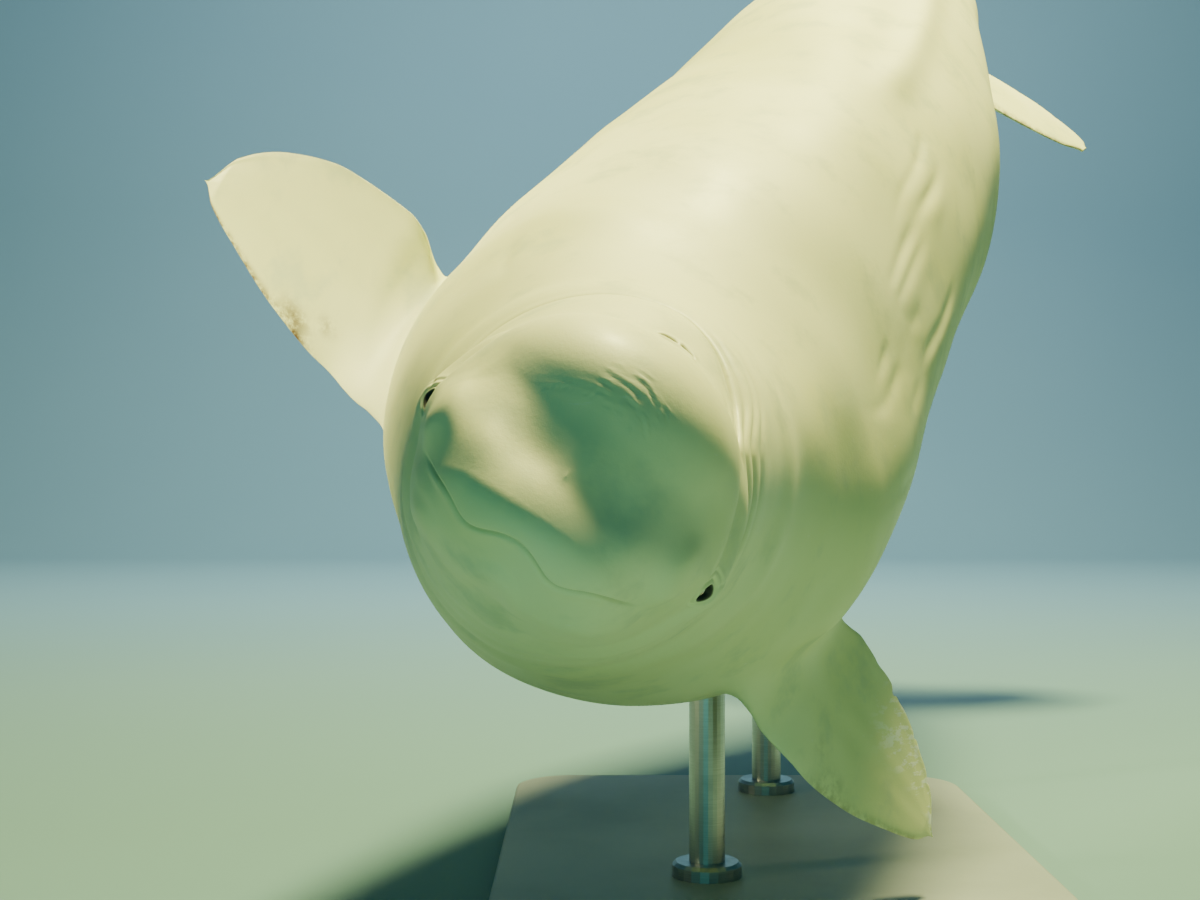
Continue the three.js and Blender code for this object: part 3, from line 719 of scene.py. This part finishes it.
def build_mesh(name, points, quads, triangles):
    """A mesh of quads and triangles that is ready for use."""
    mesh = bpy.data.meshes.new(name)
    corners = np.concatenate([quads.ravel(), triangles.ravel()])
    sizes = np.concatenate([np.full(len(quads), 4), np.full(len(triangles), 3)])
    mesh.vertices.add(len(points))
    mesh.vertices.foreach_set("co", np.asarray(points, np.float32).ravel())
    mesh.loops.add(len(corners))
    mesh.loops.foreach_set("vertex_index", corners.astype(np.int32))
    mesh.polygons.add(len(sizes))
    first_corners = np.concatenate([[0], np.cumsum(sizes)[:-1]])
    mesh.polygons.foreach_set("loop_start", first_corners.astype(np.int32))
    mesh.update(calc_edges=True)
    return mesh


def signed_volume(points, triangles):
    a, b, c = (points[triangles[:, k]] for k in range(3))
    return np.einsum("ij,ij->i", a, np.cross(b, c)).sum() / 6


def put_in_scene(name, data):
    piece = bpy.data.objects.new(name, data)
    bpy.context.scene.collection.objects.link(piece)
    return piece


def loft(name, rings, marks, start=None):
    """A closed object from rings of points in metres, facing out, with named values at its points."""
    count, sides = rings.shape[:2]
    ends = [rings[0].mean(0) if start is None else start, rings[-1].mean(0)]
    points = np.concatenate([rings.reshape(-1, 3), ends])
    quads, fans = ring_faces(count, sides)
    whole = np.concatenate([quads[:, :3], quads[:, [0, 2, 3]], fans])
    if signed_volume(points, whole) < 0:
        quads, fans = quads[:, ::-1], fans[:, ::-1]
    mesh = build_mesh(name, points, quads, fans)
    for key, values in marks.items():
        layer = mesh.attributes.new(key, "FLOAT", "POINT")
        with_ends = np.concatenate([values.ravel(), values[0, :1], values[-1, :1]])
        layer.data.foreach_set("value", with_ends.astype(np.float32))
    return put_in_scene(name, mesh)


def points_of(piece):
    points = np.empty(len(piece.data.vertices) * 3, np.float32)
    piece.data.vertices.foreach_get("co", points)
    return points.reshape(-1, 3).astype(float)


def dress(piece, finish, slot, *nodes):
    """Smooths a piece, gives it its finish and puts it in the place of its nodes."""
    piece.data.polygons.foreach_set("use_smooth", np.ones(len(piece.data.polygons), bool))
    piece.data.materials.clear()
    piece.data.materials.append(finish)
    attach(piece, "root")
    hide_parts(*nodes)


# Fins

FIN_SIDES, FLIPPER_RINGS, FLUKE_RINGS = 132, 110, 90
TIP_SHARE, TIP_CROWDING = 0.985, 1.8
SECTION_FULLNESS, FLIPPER_BLUNT, FLUKE_BLUNT = 1.9, 0.34, 0.3
FLIPPER_THINNING, FLIPPER_THIN_CHORD, FLUKE_THINNING = 0.66, 90, 0.76


def span_shares(rings):
    """Shares of the way out to a fin's tip, closer together towards it."""
    return 1 - (1 - np.linspace(0, TIP_SHARE, rings)) ** TIP_CROWDING


def fin_section(blunt):
    """Section from the front edge to the back edge, thickest at a third of the chord."""
    turn = 2 * math.pi * (np.arange(FIN_SIDES) + 0.5) / FIN_SIDES
    along = (1 - np.cos(turn)) / 2
    thick = SECTION_FULLNESS * np.sqrt(along) * (1 - along) + blunt * np.sqrt(1 - along) * along
    return along, np.where(turn < math.pi, 0.5, -0.5) * thick


def side_at(along, rise):
    """Half width of the body's section at a height."""
    top, bottom = top_line(along), bottom_line(along)
    share = (2 * rise - top - bottom) / (top - bottom)
    return half_width(along) * np.sqrt(1 - share * share)


def flipper_frame(fin):
    """The root's place and the directions of the span, the rear edge and the lifted face, in metres."""
    side = fin["side"]
    root = bend([fin["along"], side * (side_at(fin["along"], fin["rise"]) - FLIPPER_SUNK), fin["rise"]])
    base = bend([fin["along"], 0, 0])
    left = unit(bend([fin["along"], 1, 0]) - base)
    up = unit(bend([fin["along"], 0, 1]) - base)
    ahead = np.cross(left, up)
    sweep, droop = math.radians(fin["sweep"]), math.radians(fin["droop"])
    level = side * left * math.cos(sweep) - ahead * math.sin(sweep)
    span = level * math.cos(droop) - up * math.sin(droop)
    rear = unit(-ahead + span * (ahead @ span))
    lift = np.cross(span, rear)
    return root, span, rear, lift if lift @ up > 0 else -lift, ahead


# Bites and worn places of the back edge: share of the way out, depth, width
BITES = [
    (0.5, 0.006, 0.03), (0.615, 0.024, 0.013), (0.65, 0.01, 0.03),
    (0.78, 0.012, 0.009), (0.83, 0.007, 0.03), (0.9, 0.014, 0.011),
]
BITES_FROM = (0.55, 0.45)


def ragged(share, along, amount):
    """How far the bites reach into the blade, as shares of the length."""
    cut = sum(deep * hump(share, place, wide) for place, deep, wide in BITES)
    return amount * cut * since(along, *BITES_FROM)


FINGER_HEIGHT, FINGER_RATE, FINGER_LEAN, FINGERS_OUT = 0.9, 26, 1.2, (0.5, 0.3)
EDGE_ROLL, EDGE_ROLL_AT, EDGE_ROLL_FROM = 1.6, (0.96, 0.05), (0, 0.15)


def flipper_relief(share, along):
    """Finger bones that show under the skin, and the thicker back edge, in millimetres."""
    fingers = np.sin(along * FINGER_RATE + FINGER_LEAN * share) * np.sin(math.pi * along) ** 2
    fingers = FINGER_HEIGHT * fingers * hump(share, *FINGERS_OUT)
    return fingers + EDGE_ROLL * hump(along, *EDGE_ROLL_AT) * since(share, *EDGE_ROLL_FROM)


# Brown smudges: strength, place and width from the front edge, place and width on the way out
SMUDGES = [(0.8, 0.09, 0.06, 0.45, 0.07), (0.5, 0.2, 0.05, 0.33, 0.04)]
STAIN_WIDTH, STAIN_FROM, STAIN_WORN_OFF = 0.045, (0.25, 0.2), 0.6
SCUFF_OUT, SCUFF_ACROSS = (0.45, 0.3), (0.35, 0.4)


def flipper_marks(share, along, wear):
    """Where the flipper is stained brown and where it is scuffed pale."""
    stain = bell(along, STAIN_WIDTH) * since(share, *STAIN_FROM)
    for strength, across, wide, out, reach in SMUDGES:
        stain = stain + strength * hump(along, across, wide) * hump(share, out, reach)
    return {
        "dark": np.zeros(along.shape),
        "stain": np.clip(stain, 0, 1) * (1 - STAIN_WORN_OFF * wear),
        "scuff": wear * since(share, *SCUFF_OUT) * since(along, *SCUFF_ACROSS),
    }


def flipper(name, fin, wear):
    """A flipper that turns from its root's angle to its blade's and curls up towards its tip."""
    root, span, rear, lift, ahead = flipper_frame(fin)
    share = np.concatenate([[0], span_shares(FLIPPER_RINGS)])
    reach = share * FLIPPER_LENGTH
    reach[0] = -FLIPPER_INSET
    angle = np.radians(fin["root"] + (fin["blade"] - fin["root"]) * ease(share / FLIPPER_TURN_BY))[:, None]
    chord_way = rear * np.cos(angle) + lift * np.sin(angle)
    face = unit(np.cross(span, chord_way))
    face = face * np.where(face @ ahead < 0, -1, 1)[:, None]
    along, high = fin_section(FLIPPER_BLUNT)
    lead = curve(FLIPPER_FRONT)(share)[:, None] * FLIPPER_LENGTH
    chord = curve(FLIPPER_BACK)(share)[:, None] * FLIPPER_LENGTH - lead
    thick = FLIPPER_THICK * (1 - FLIPPER_THINNING * share) * np.minimum(1, chord[:, 0] / FLIPPER_THIN_CHORD)
    across = lead + chord * along - ragged(share[:, None], along, wear) * FLIPPER_LENGTH
    grid = np.broadcast_arrays(share[:, None], along[None, :])
    curl = (fin["curl"] * share**2)[:, None] * FLIPPER_LENGTH
    over = high * thick[:, None] + np.sign(high) * flipper_relief(*grid) + curl
    outward, rearward = span * reach[:, None, None], chord_way[:, None, :] * across[..., None]
    points = root + MM * (outward + rearward + face[:, None, :] * over[..., None])
    return loft(name, points, flipper_marks(*grid, wear))


# Nicks of the flukes' back edge: share of the half span, width
NICKS = [(0.43, 0.012), (0.71, 0.02)]
NICK_DEPTH, NICKS_FROM = 5, (0.7, 0.3)
FLUKE_STAIN, FLUKE_STAIN_WIDTH = 0.6, 0.05


def flukes():
    """Both flukes as one blade, from the right tip to the left one."""
    half = span_shares(FLUKE_RINGS)
    share = np.concatenate([-half[:0:-1], half])
    out = np.abs(share)
    along, high = fin_section(FLUKE_BLUNT)
    lead = curve(FLUKE_FRONT)(out)[:, None]
    chord = curve(FLUKE_BACK)(out)[:, None] - lead
    nicks = sum(hump(out, *nick) for nick in NICKS)[:, None]
    place = lead + chord * along - NICK_DEPTH * nicks * since(along, *NICKS_FROM)
    thick = FLUKE_THICK * (1 - FLUKE_THINNING * out)[:, None]
    rise = high * thick + (place - FLUKE_HINGE) * FLUKE_TILT
    side = np.broadcast_to(share[:, None] * FLUKE_SPAN, place.shape)
    points = bend(np.stack([place, side, rise], -1))
    blank = np.zeros(place.shape)
    stain = FLUKE_STAIN * bell(along, FLUKE_STAIN_WIDTH) + blank
    return loft("flukes", points, {"dark": blank, "stain": stain, "scuff": blank})


# One continuous skin


def join_solids(body, others):
    """The union of closed pieces, as one mesh on the first."""
    for other in others:
        cut = body.modifiers.new(other.name, "BOOLEAN")
        cut.operation = "UNION"
        cut.solver = "MANIFOLD"
        cut.object = other
    seen = body.evaluated_get(bpy.context.evaluated_depsgraph_get())
    joined = bpy.data.meshes.new_from_object(seen)
    body.modifiers.clear()
    body.data = joined


def nearness(points, trees, reach):
    """1 on the line where two surfaces meet, falling to 0 at a distance from it."""
    near = np.zeros(len(points))
    for i, point in enumerate(points):
        hits = [tree.find_nearest(point, reach) for tree in trees]
        if all(hit[0] is not None for hit in hits):
            near[i] = 1 - max(hit[3] for hit in hits) / reach
    return near


def tree_of(piece):
    """A search tree for the nearest place on a piece."""
    return BVHTree.FromObject(piece, bpy.context.evaluated_depsgraph_get())


def close_to(points, box, margin):
    """Which points lie in a box or within a margin of it."""
    low, high = box
    return np.all((points > low - margin) & (points < high + margin), axis=1)


FAIRING, FAIRING_ROUNDS, FAIRING_RISE, FAIRING_PULL = 0.075, 160, 1.5, 0.7


def fair_roots(body, fins, trunk_tree):
    """Smooths the lines where the fins leave the body into soft hollows."""
    points = points_of(body)
    weight = np.zeros(len(points))
    for tree, box in fins:
        chosen = np.nonzero(close_to(points, box, FAIRING))[0]
        weight[chosen] = np.maximum(weight[chosen], nearness(points[chosen], (tree, trunk_tree), FAIRING))
    weight = np.clip(weight, 0, 1)
    pull = FAIRING_PULL * ease(weight * FAIRING_RISE)
    edges = np.empty(len(body.data.edges) * 2, np.int32)
    body.data.edges.foreach_get("vertices", edges)
    edges = edges.reshape(-1, 2)
    edges = edges[(weight[edges] > 0).any(1)]
    used, place = np.unique(edges, return_inverse=True)
    place = place.reshape(-1, 2)
    spots, soft = points[used], pull[used][:, None]
    ends = np.concatenate([place[:, 0], place[:, 1]])
    mates = np.concatenate([place[:, 1], place[:, 0]])
    count = np.bincount(ends, minlength=len(used))[:, None]
    for _ in range(FAIRING_ROUNDS):
        mean = np.stack([np.bincount(ends, spots[mates, k], len(used)) for k in range(3)], -1) / count
        spots = spots + soft * (mean - spots)
    points[used] = spots
    body.data.vertices.foreach_set("co", points.astype(np.float32).ravel())
    body.data.update()


SKIN_NODES = [
    "head", "neck", "chest", "belly", "tail_front", "tail_stock",
    "flipper_right", "flipper_left", "fluke_right", "fluke_left",
]


def make_skin(finish):
    """The body with its flippers and flukes joined on, as one smooth closed skin."""
    grid, dark = shape_skin()
    blank = np.zeros(dark.shape)
    # The dark mark carries the shade painted into the head's creases and slits
    marks = {"dark": dark, "stain": blank, "scuff": blank}
    body = loft("skin", bend(grid), marks, start=bend(grid[0].mean(0)))
    trunk_tree = tree_of(body)
    fins = [
        flipper("flipper_right_form", RIGHT_FLIPPER, wear=0.0),
        flipper("flipper_left_form", LEFT_FLIPPER, wear=1.0),
        flukes(),
    ]
    shapes = []
    for fin in fins:
        points = points_of(fin)
        shapes.append((tree_of(fin), (points.min(0), points.max(0))))
    join_solids(body, fins)
    for fin in fins:
        bpy.data.objects.remove(fin)
    fair_roots(body, shapes, trunk_tree)
    dress(body, finish, "skin", *SKIN_NODES)


EYE_RINGS, EYE_SIDES, EYE_POLE = 40, 64, 0.02
CORNEA_BULGE, CORNEA_WIDTH, IRIS_WIDTH, IRIS_SQUEEZE = 0.07, 0.5, 0.42, 1.1


def make_eye(name, side, node, finish):
    """An eyeball with a clear bulge over its iris."""
    tilt = np.linspace(EYE_POLE, math.pi - EYE_POLE, EYE_RINGS)[:, None]
    turn = np.linspace(0, 2 * math.pi, EYE_SIDES, endpoint=False)[None, :]
    out = np.cos(tilt) * np.ones(turn.shape)
    across, high = np.sin(tilt) * np.cos(turn), np.sin(tilt) * np.sin(turn)
    bulge = 1 + CORNEA_BULGE * bell(np.hypot(across, high), CORNEA_WIDTH) * (out > 0)
    a, b, c = EYEBALL_HALF
    points = np.stack([
        EYE_ALONG + a * across,
        side * (EYE_SIDE + b * out * bulge),
        EYE_RISE + c * high,
    ], -1)
    iris = bell(np.hypot(across, high * IRIS_SQUEEZE), IRIS_WIDTH) * (out > 0)
    dress(loft(name, bend(points), {"iris": iris}), finish, "eye", node)


# Finishes


class Value:
    """A number that varies over a surface; arithmetic on it adds Math nodes."""

    def __init__(self, finish, socket):
        self.finish, self.socket = finish, socket

    def work(self, operation, first, second):
        return self.finish.node("ShaderNodeMath", {"operation": operation}, {0: first, 1: second})

    def __add__(self, other):
        return self.work("ADD", self, other)

    def __sub__(self, other):
        return self.work("SUBTRACT", self, other)

    def __rsub__(self, other):
        return self.work("SUBTRACT", other, self)

    def __mul__(self, other):
        return self.work("MULTIPLY", self, other)

    __radd__, __rmul__ = __add__, __mul__


class Finish:
    """A material and the nodes that make it."""

    def __init__(self, name, **constants):
        self.material = bpy.data.materials.new(name)
        self.material.use_nodes = True
        self.tree = self.material.node_tree
        self.shader = self.tree.nodes["Principled BSDF"]
        for socket, value in constants.items():
            self.shader.inputs[socket.replace("_", " ")].default_value = value
        self.place = self.node("ShaderNodeTexCoord", output="Object")

    def node(self, kind, settings=None, values=None, output=0):
        """A node of a kind, with its settings made first and then its sockets fed."""
        made = self.tree.nodes.new(kind)
        for key, value in (settings or {}).items():
            setattr(made, key, value)
        for key, value in (values or {}).items():
            self.feed(made.inputs[key], value)
        return Value(self, made.outputs[output])

    def feed(self, socket, value):
        if isinstance(value, Value):
            self.tree.links.new(value.socket, socket)
        else:
            socket.default_value = value

    def set(self, **sockets):
        """Feeds the shader's own sockets."""
        for name, value in sockets.items():
            self.feed(self.shader.inputs[name.replace("_", " ")], value)

    def noise(self, scale, detail, roughness, place=None):
        values = {"Vector": place or self.place, "Scale": scale, "Detail": detail, "Roughness": roughness}
        return self.node("ShaderNodeTexNoise", None, values)

    def stretched(self, scale):
        """The place on the piece, with its own scale for each direction."""
        return self.node("ShaderNodeMapping", None, {"Vector": self.place, "Scale": scale})

    def mark(self, name):
        """The value of that name at the mesh's points."""
        return self.node("ShaderNodeAttribute", {"attribute_name": name}, output="Fac")

    def level(self, value, low, high):
        """0 below low, 1 above high, smooth between."""
        values = {"Value": value, "From Min": low, "From Max": high}
        return self.node("ShaderNodeMapRange", {"interpolation_type": "SMOOTHSTEP"}, values)

    def mix(self, factor, first, second):
        """From the first colour to the second."""
        values = {0: factor, 6: first, 7: second}
        return self.node("ShaderNodeMix", {"data_type": "RGBA"}, values, output=2)

    def bump(self, height, strength, distance):
        values = {"Height": height, "Strength": strength, "Distance": distance}
        return self.node("ShaderNodeBump", None, values)


def colour(red, green, blue):
    """A picture colour from 0 to 255 as the shader's linear one."""
    linear = [c / 255 / 12.92 if c <= 10 else ((c / 255 + 0.055) / 1.055) ** 2.4 for c in (red, green, blue)]
    return (*linear, 1.0)


CREAM = colour(240, 240, 192)
IVORY = colour(226, 227, 168)
PALE_GREY = colour(196, 204, 170)
# Near-black painted into the creases and slits as shade
PAINTED_SHADE = colour(38, 40, 34)
BROWN = colour(92, 66, 34)
SCUFF = colour(250, 249, 236)
EYE_EDGE, EYE_BROWN = colour(46, 36, 28), colour(74, 48, 24)
EYE_SPECK, PUPIL = colour(24, 17, 11), colour(5, 5, 6)
PAINT_GREY, PAINT_CLOUD, PAINT_DUST = colour(150, 156, 158), colour(138, 145, 148), colour(176, 180, 180)
STEEL_LIGHT, STEEL_DARK, STEEL_SMEAR = colour(188, 191, 193), colour(160, 164, 167), colour(142, 146, 149)
FLOOR_BLUE, FLOOR_CLOUD = colour(110, 142, 152), colour(106, 138, 149)


def skin_finish():
    """Cream skin in soft patches, with scuffs and brown stains where it is marked, and shade painted into
    its creases and slits.
    """
    f = Finish("whale_skin", Specular_IOR_Level=0.38, Coat_Roughness=0.28)
    f.set(Subsurface_Weight=0.12, Subsurface_Scale=0.012, Subsurface_Radius=(1.0, 0.75, 0.5))
    broad = f.noise(2.2, detail=3.0, roughness=0.55)
    patch = f.noise(9.0, detail=4.0, roughness=0.6)
    fine = f.noise(160.0, detail=4.0, roughness=0.62)
    grain = f.noise(620.0, detail=2.0, roughness=0.5)
    streaks = f.noise(1.0, detail=5.0, roughness=0.7, place=f.stretched((9.0, 34.0, 70.0)))
    base = f.mix(f.level(broad, 0.38, 0.66), CREAM, IVORY)
    base = f.mix(f.level(patch, 0.5, 0.72) * 0.6, base, PALE_GREY)
    base = f.mix(f.level(streaks, 0.66, 0.74) * 0.35, base, SCUFF)
    base = f.mix(f.level(fine, 0.6, 0.8) * 0.18, base, IVORY)
    scuff = f.mark("scuff") * f.level(streaks, 0.5, 0.6)
    base = f.mix(scuff, base, SCUFF)
    blotch = f.noise(38.0, detail=4.0, roughness=0.7)
    stain = f.mark("stain") * f.level(blotch, 0.32, 0.6)
    base = f.mix(stain, base, BROWN)
    # Painted shade in the mouth line, blowhole slit, eye openings and nape lines
    base = f.mix(f.mark("dark"), base, PAINTED_SHADE)
    height = fine * 0.55 + grain * 0.25 + patch * 0.6 + scuff * 0.5
    f.set(Base_Color=base, Roughness=0.44 + 0.14 * fine + 0.14 * patch, Coat_Weight=0.10 - 0.06 * patch)
    f.set(Normal=f.bump(height, strength=0.32, distance=0.0012))
    return f.material


def eye_finish():
    """A wet dark eye with a brown iris."""
    f = Finish("whale_eye", Specular_IOR_Level=0.6, Coat_Roughness=0.03)
    iris = f.mark("iris")
    ring = f.level(iris, 0.12, 0.3)
    pupil = f.level(iris, 0.55, 0.7)
    speck = f.noise(900.0, detail=3.0, roughness=0.6)
    base = f.mix(ring, EYE_EDGE, EYE_BROWN)
    base = f.mix(f.level(speck, 0.4, 0.7) * 0.5, base, EYE_SPECK)
    base = f.mix(pupil, base, PUPIL)
    f.set(Base_Color=base, Roughness=0.1 + 0.08 * speck, Coat_Weight=0.8 + 0.2 * ring)
    f.set(Normal=f.bump(speck, strength=0.06, distance=0.0004))
    return f.material


def base_finish():
    """Satin paint over a pressed board, with a fine orange-peel surface."""
    f = Finish("satin_painted_base", Specular_IOR_Level=0.4)
    peel = f.noise(330.0, detail=2.0, roughness=0.5)
    cloud = f.noise(3.0, detail=4.0, roughness=0.55)
    dust = f.noise(900.0, detail=2.0, roughness=0.6)
    base = f.mix(f.level(cloud, 0.35, 0.7), PAINT_GREY, PAINT_CLOUD)
    base = f.mix(f.level(dust, 0.62, 0.75) * 0.3, base, PAINT_DUST)
    f.set(Base_Color=base, Roughness=0.42 + 0.14 * cloud + 0.06 * dust)
    f.set(Normal=f.bump(peel, strength=0.18, distance=0.0008))
    return f.material


def rod_finish():
    """Brushed steel, with fine lines round the rod."""
    f = Finish("brushed_steel", Metallic=1.0)
    lines = f.noise(1.0, detail=4.0, roughness=0.7, place=f.stretched((14.0, 14.0, 1900.0)))
    smear = f.noise(16.0, detail=3.0, roughness=0.6)
    base = f.mix(f.level(lines, 0.35, 0.68), STEEL_LIGHT, STEEL_DARK)
    base = f.mix(f.level(smear, 0.55, 0.75) * 0.3, base, STEEL_SMEAR)
    f.set(Base_Color=base, Roughness=0.24 + 0.16 * lines + 0.1 * smear)
    f.set(Normal=f.bump(lines, strength=0.12, distance=0.0003))
    return f.material


def finish_stand():
    base, rod = base_finish(), rod_finish()
    for name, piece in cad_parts.items():
        if name.startswith("stand_"):
            finish = base if name == "stand_base" else rod
            piece.material_slots[0].material = finish


# Studio

FLOOR_FRONT, FLOOR_BACK, FLOOR_WIDE = -9.0, 9.0, 14.0
SWEEP_RADIUS, SWEEP_TOP, SWEEP_STEPS = 3.0, 9.0, 24


def floor_finish():
    f = Finish("studio_floor", Roughness=0.7, Specular_IOR_Level=0.2)
    cloud = f.noise(0.6, detail=2.0, roughness=0.5)
    f.set(Base_Color=f.mix(cloud, FLOOR_BLUE, FLOOR_CLOUD))
    return f.material


def make_floor():
    """A plain floor that sweeps up into a backdrop."""
    turn = np.linspace(0, math.pi / 2, SWEEP_STEPS)
    sweep_y = FLOOR_BACK + SWEEP_RADIUS * np.sin(turn)
    sweep_z = SWEEP_RADIUS * (1 - np.cos(turn))
    y = np.concatenate([[FLOOR_FRONT], sweep_y, [FLOOR_BACK + SWEEP_RADIUS]])
    z = np.concatenate([[0], sweep_z, [SWEEP_TOP]])
    rows = [np.stack([np.full(len(y), x), y, z], -1) for x in (-FLOOR_WIDE, FLOOR_WIDE)]
    points = np.concatenate(rows)
    here = np.arange(len(y) - 1)
    quads = np.stack([here, here + len(y), here + len(y) + 1, here + 1], -1)
    mesh = build_mesh("studio_floor", points, quads, np.zeros((0, 3), int))
    mesh.polygons.foreach_set("use_smooth", np.ones(len(quads), bool))
    mesh.materials.append(floor_finish())
    put_in_scene("studio_floor", mesh)


def soft_light(name, at, towards, wide, high, power, shade, spread):
    """A rectangular light that shines from one place towards another."""
    lamp = bpy.data.lights.new(name, "AREA")
    lamp.spread = math.radians(spread)
    lamp.shape = "RECTANGLE"
    lamp.size, lamp.size_y, lamp.energy, lamp.color = wide, high, power, shade
    light = put_in_scene(name, lamp)
    light.location = at
    light.rotation_euler = (Vector(towards) - Vector(at)).to_track_quat("-Z", "Y").to_euler()


LIGHTS = [
    # name, place, aim, width, height, watts, colour, spread in degrees
    ("key", (1.1, 1.1, 6.6), (-0.2, -0.5, 1.1), 1.0, 1.0, 1500, (1.0, 0.96, 0.36), 180),
    ("flipper_light", (-3.6, -1.5, 2.0), (-0.86, -0.46, 1.12), 0.5, 0.5, 6, (1.0, 0.93, 0.42), 20),
    ("low_fill", (-0.9, -3.4, 0.3), (-0.4, -1.2, 0.8), 2.4, 0.5, 6, (0.10, 0.9, 0.85), 180),
    ("backdrop_light", (0, 5.0, 6.0), (0, 10.5, 1.6), 8, 1.5, 1100, (0.86, 1.0, 1.0), 180),
]
WORLD_COLOUR, WORLD_STRENGTH = (0.10, 0.62, 0.75, 1), 0.12


def light_studio():
    for light in LIGHTS:
        soft_light(*light)
    world = bpy.data.worlds.new("studio")
    bpy.context.scene.world = world
    world.use_nodes = True
    sky = world.node_tree.nodes["Background"]
    sky.inputs["Color"].default_value = WORLD_COLOUR
    sky.inputs["Strength"].default_value = WORLD_STRENGTH


def place_camera():
    lens = bpy.data.cameras.new("camera")
    lens.sensor_width, lens.lens = CAMERA_SENSOR, CAMERA_LENS
    lens.clip_start, lens.clip_end = CAMERA_NEAR, CAMERA_FAR
    camera = put_in_scene("camera", lens)
    camera.location = CAMERA_AT
    camera.rotation_euler = [math.radians(turn) for turn in CAMERA_TURN]
    bpy.context.scene.camera = camera


place_camera()
make_skin(skin_finish())
eye_look = eye_finish()
make_eye("eyeball_right", -1, "eye_right", eye_look)
make_eye("eyeball_left", 1, "eye_left", eye_look)
finish_stand()
make_floor()
light_studio()
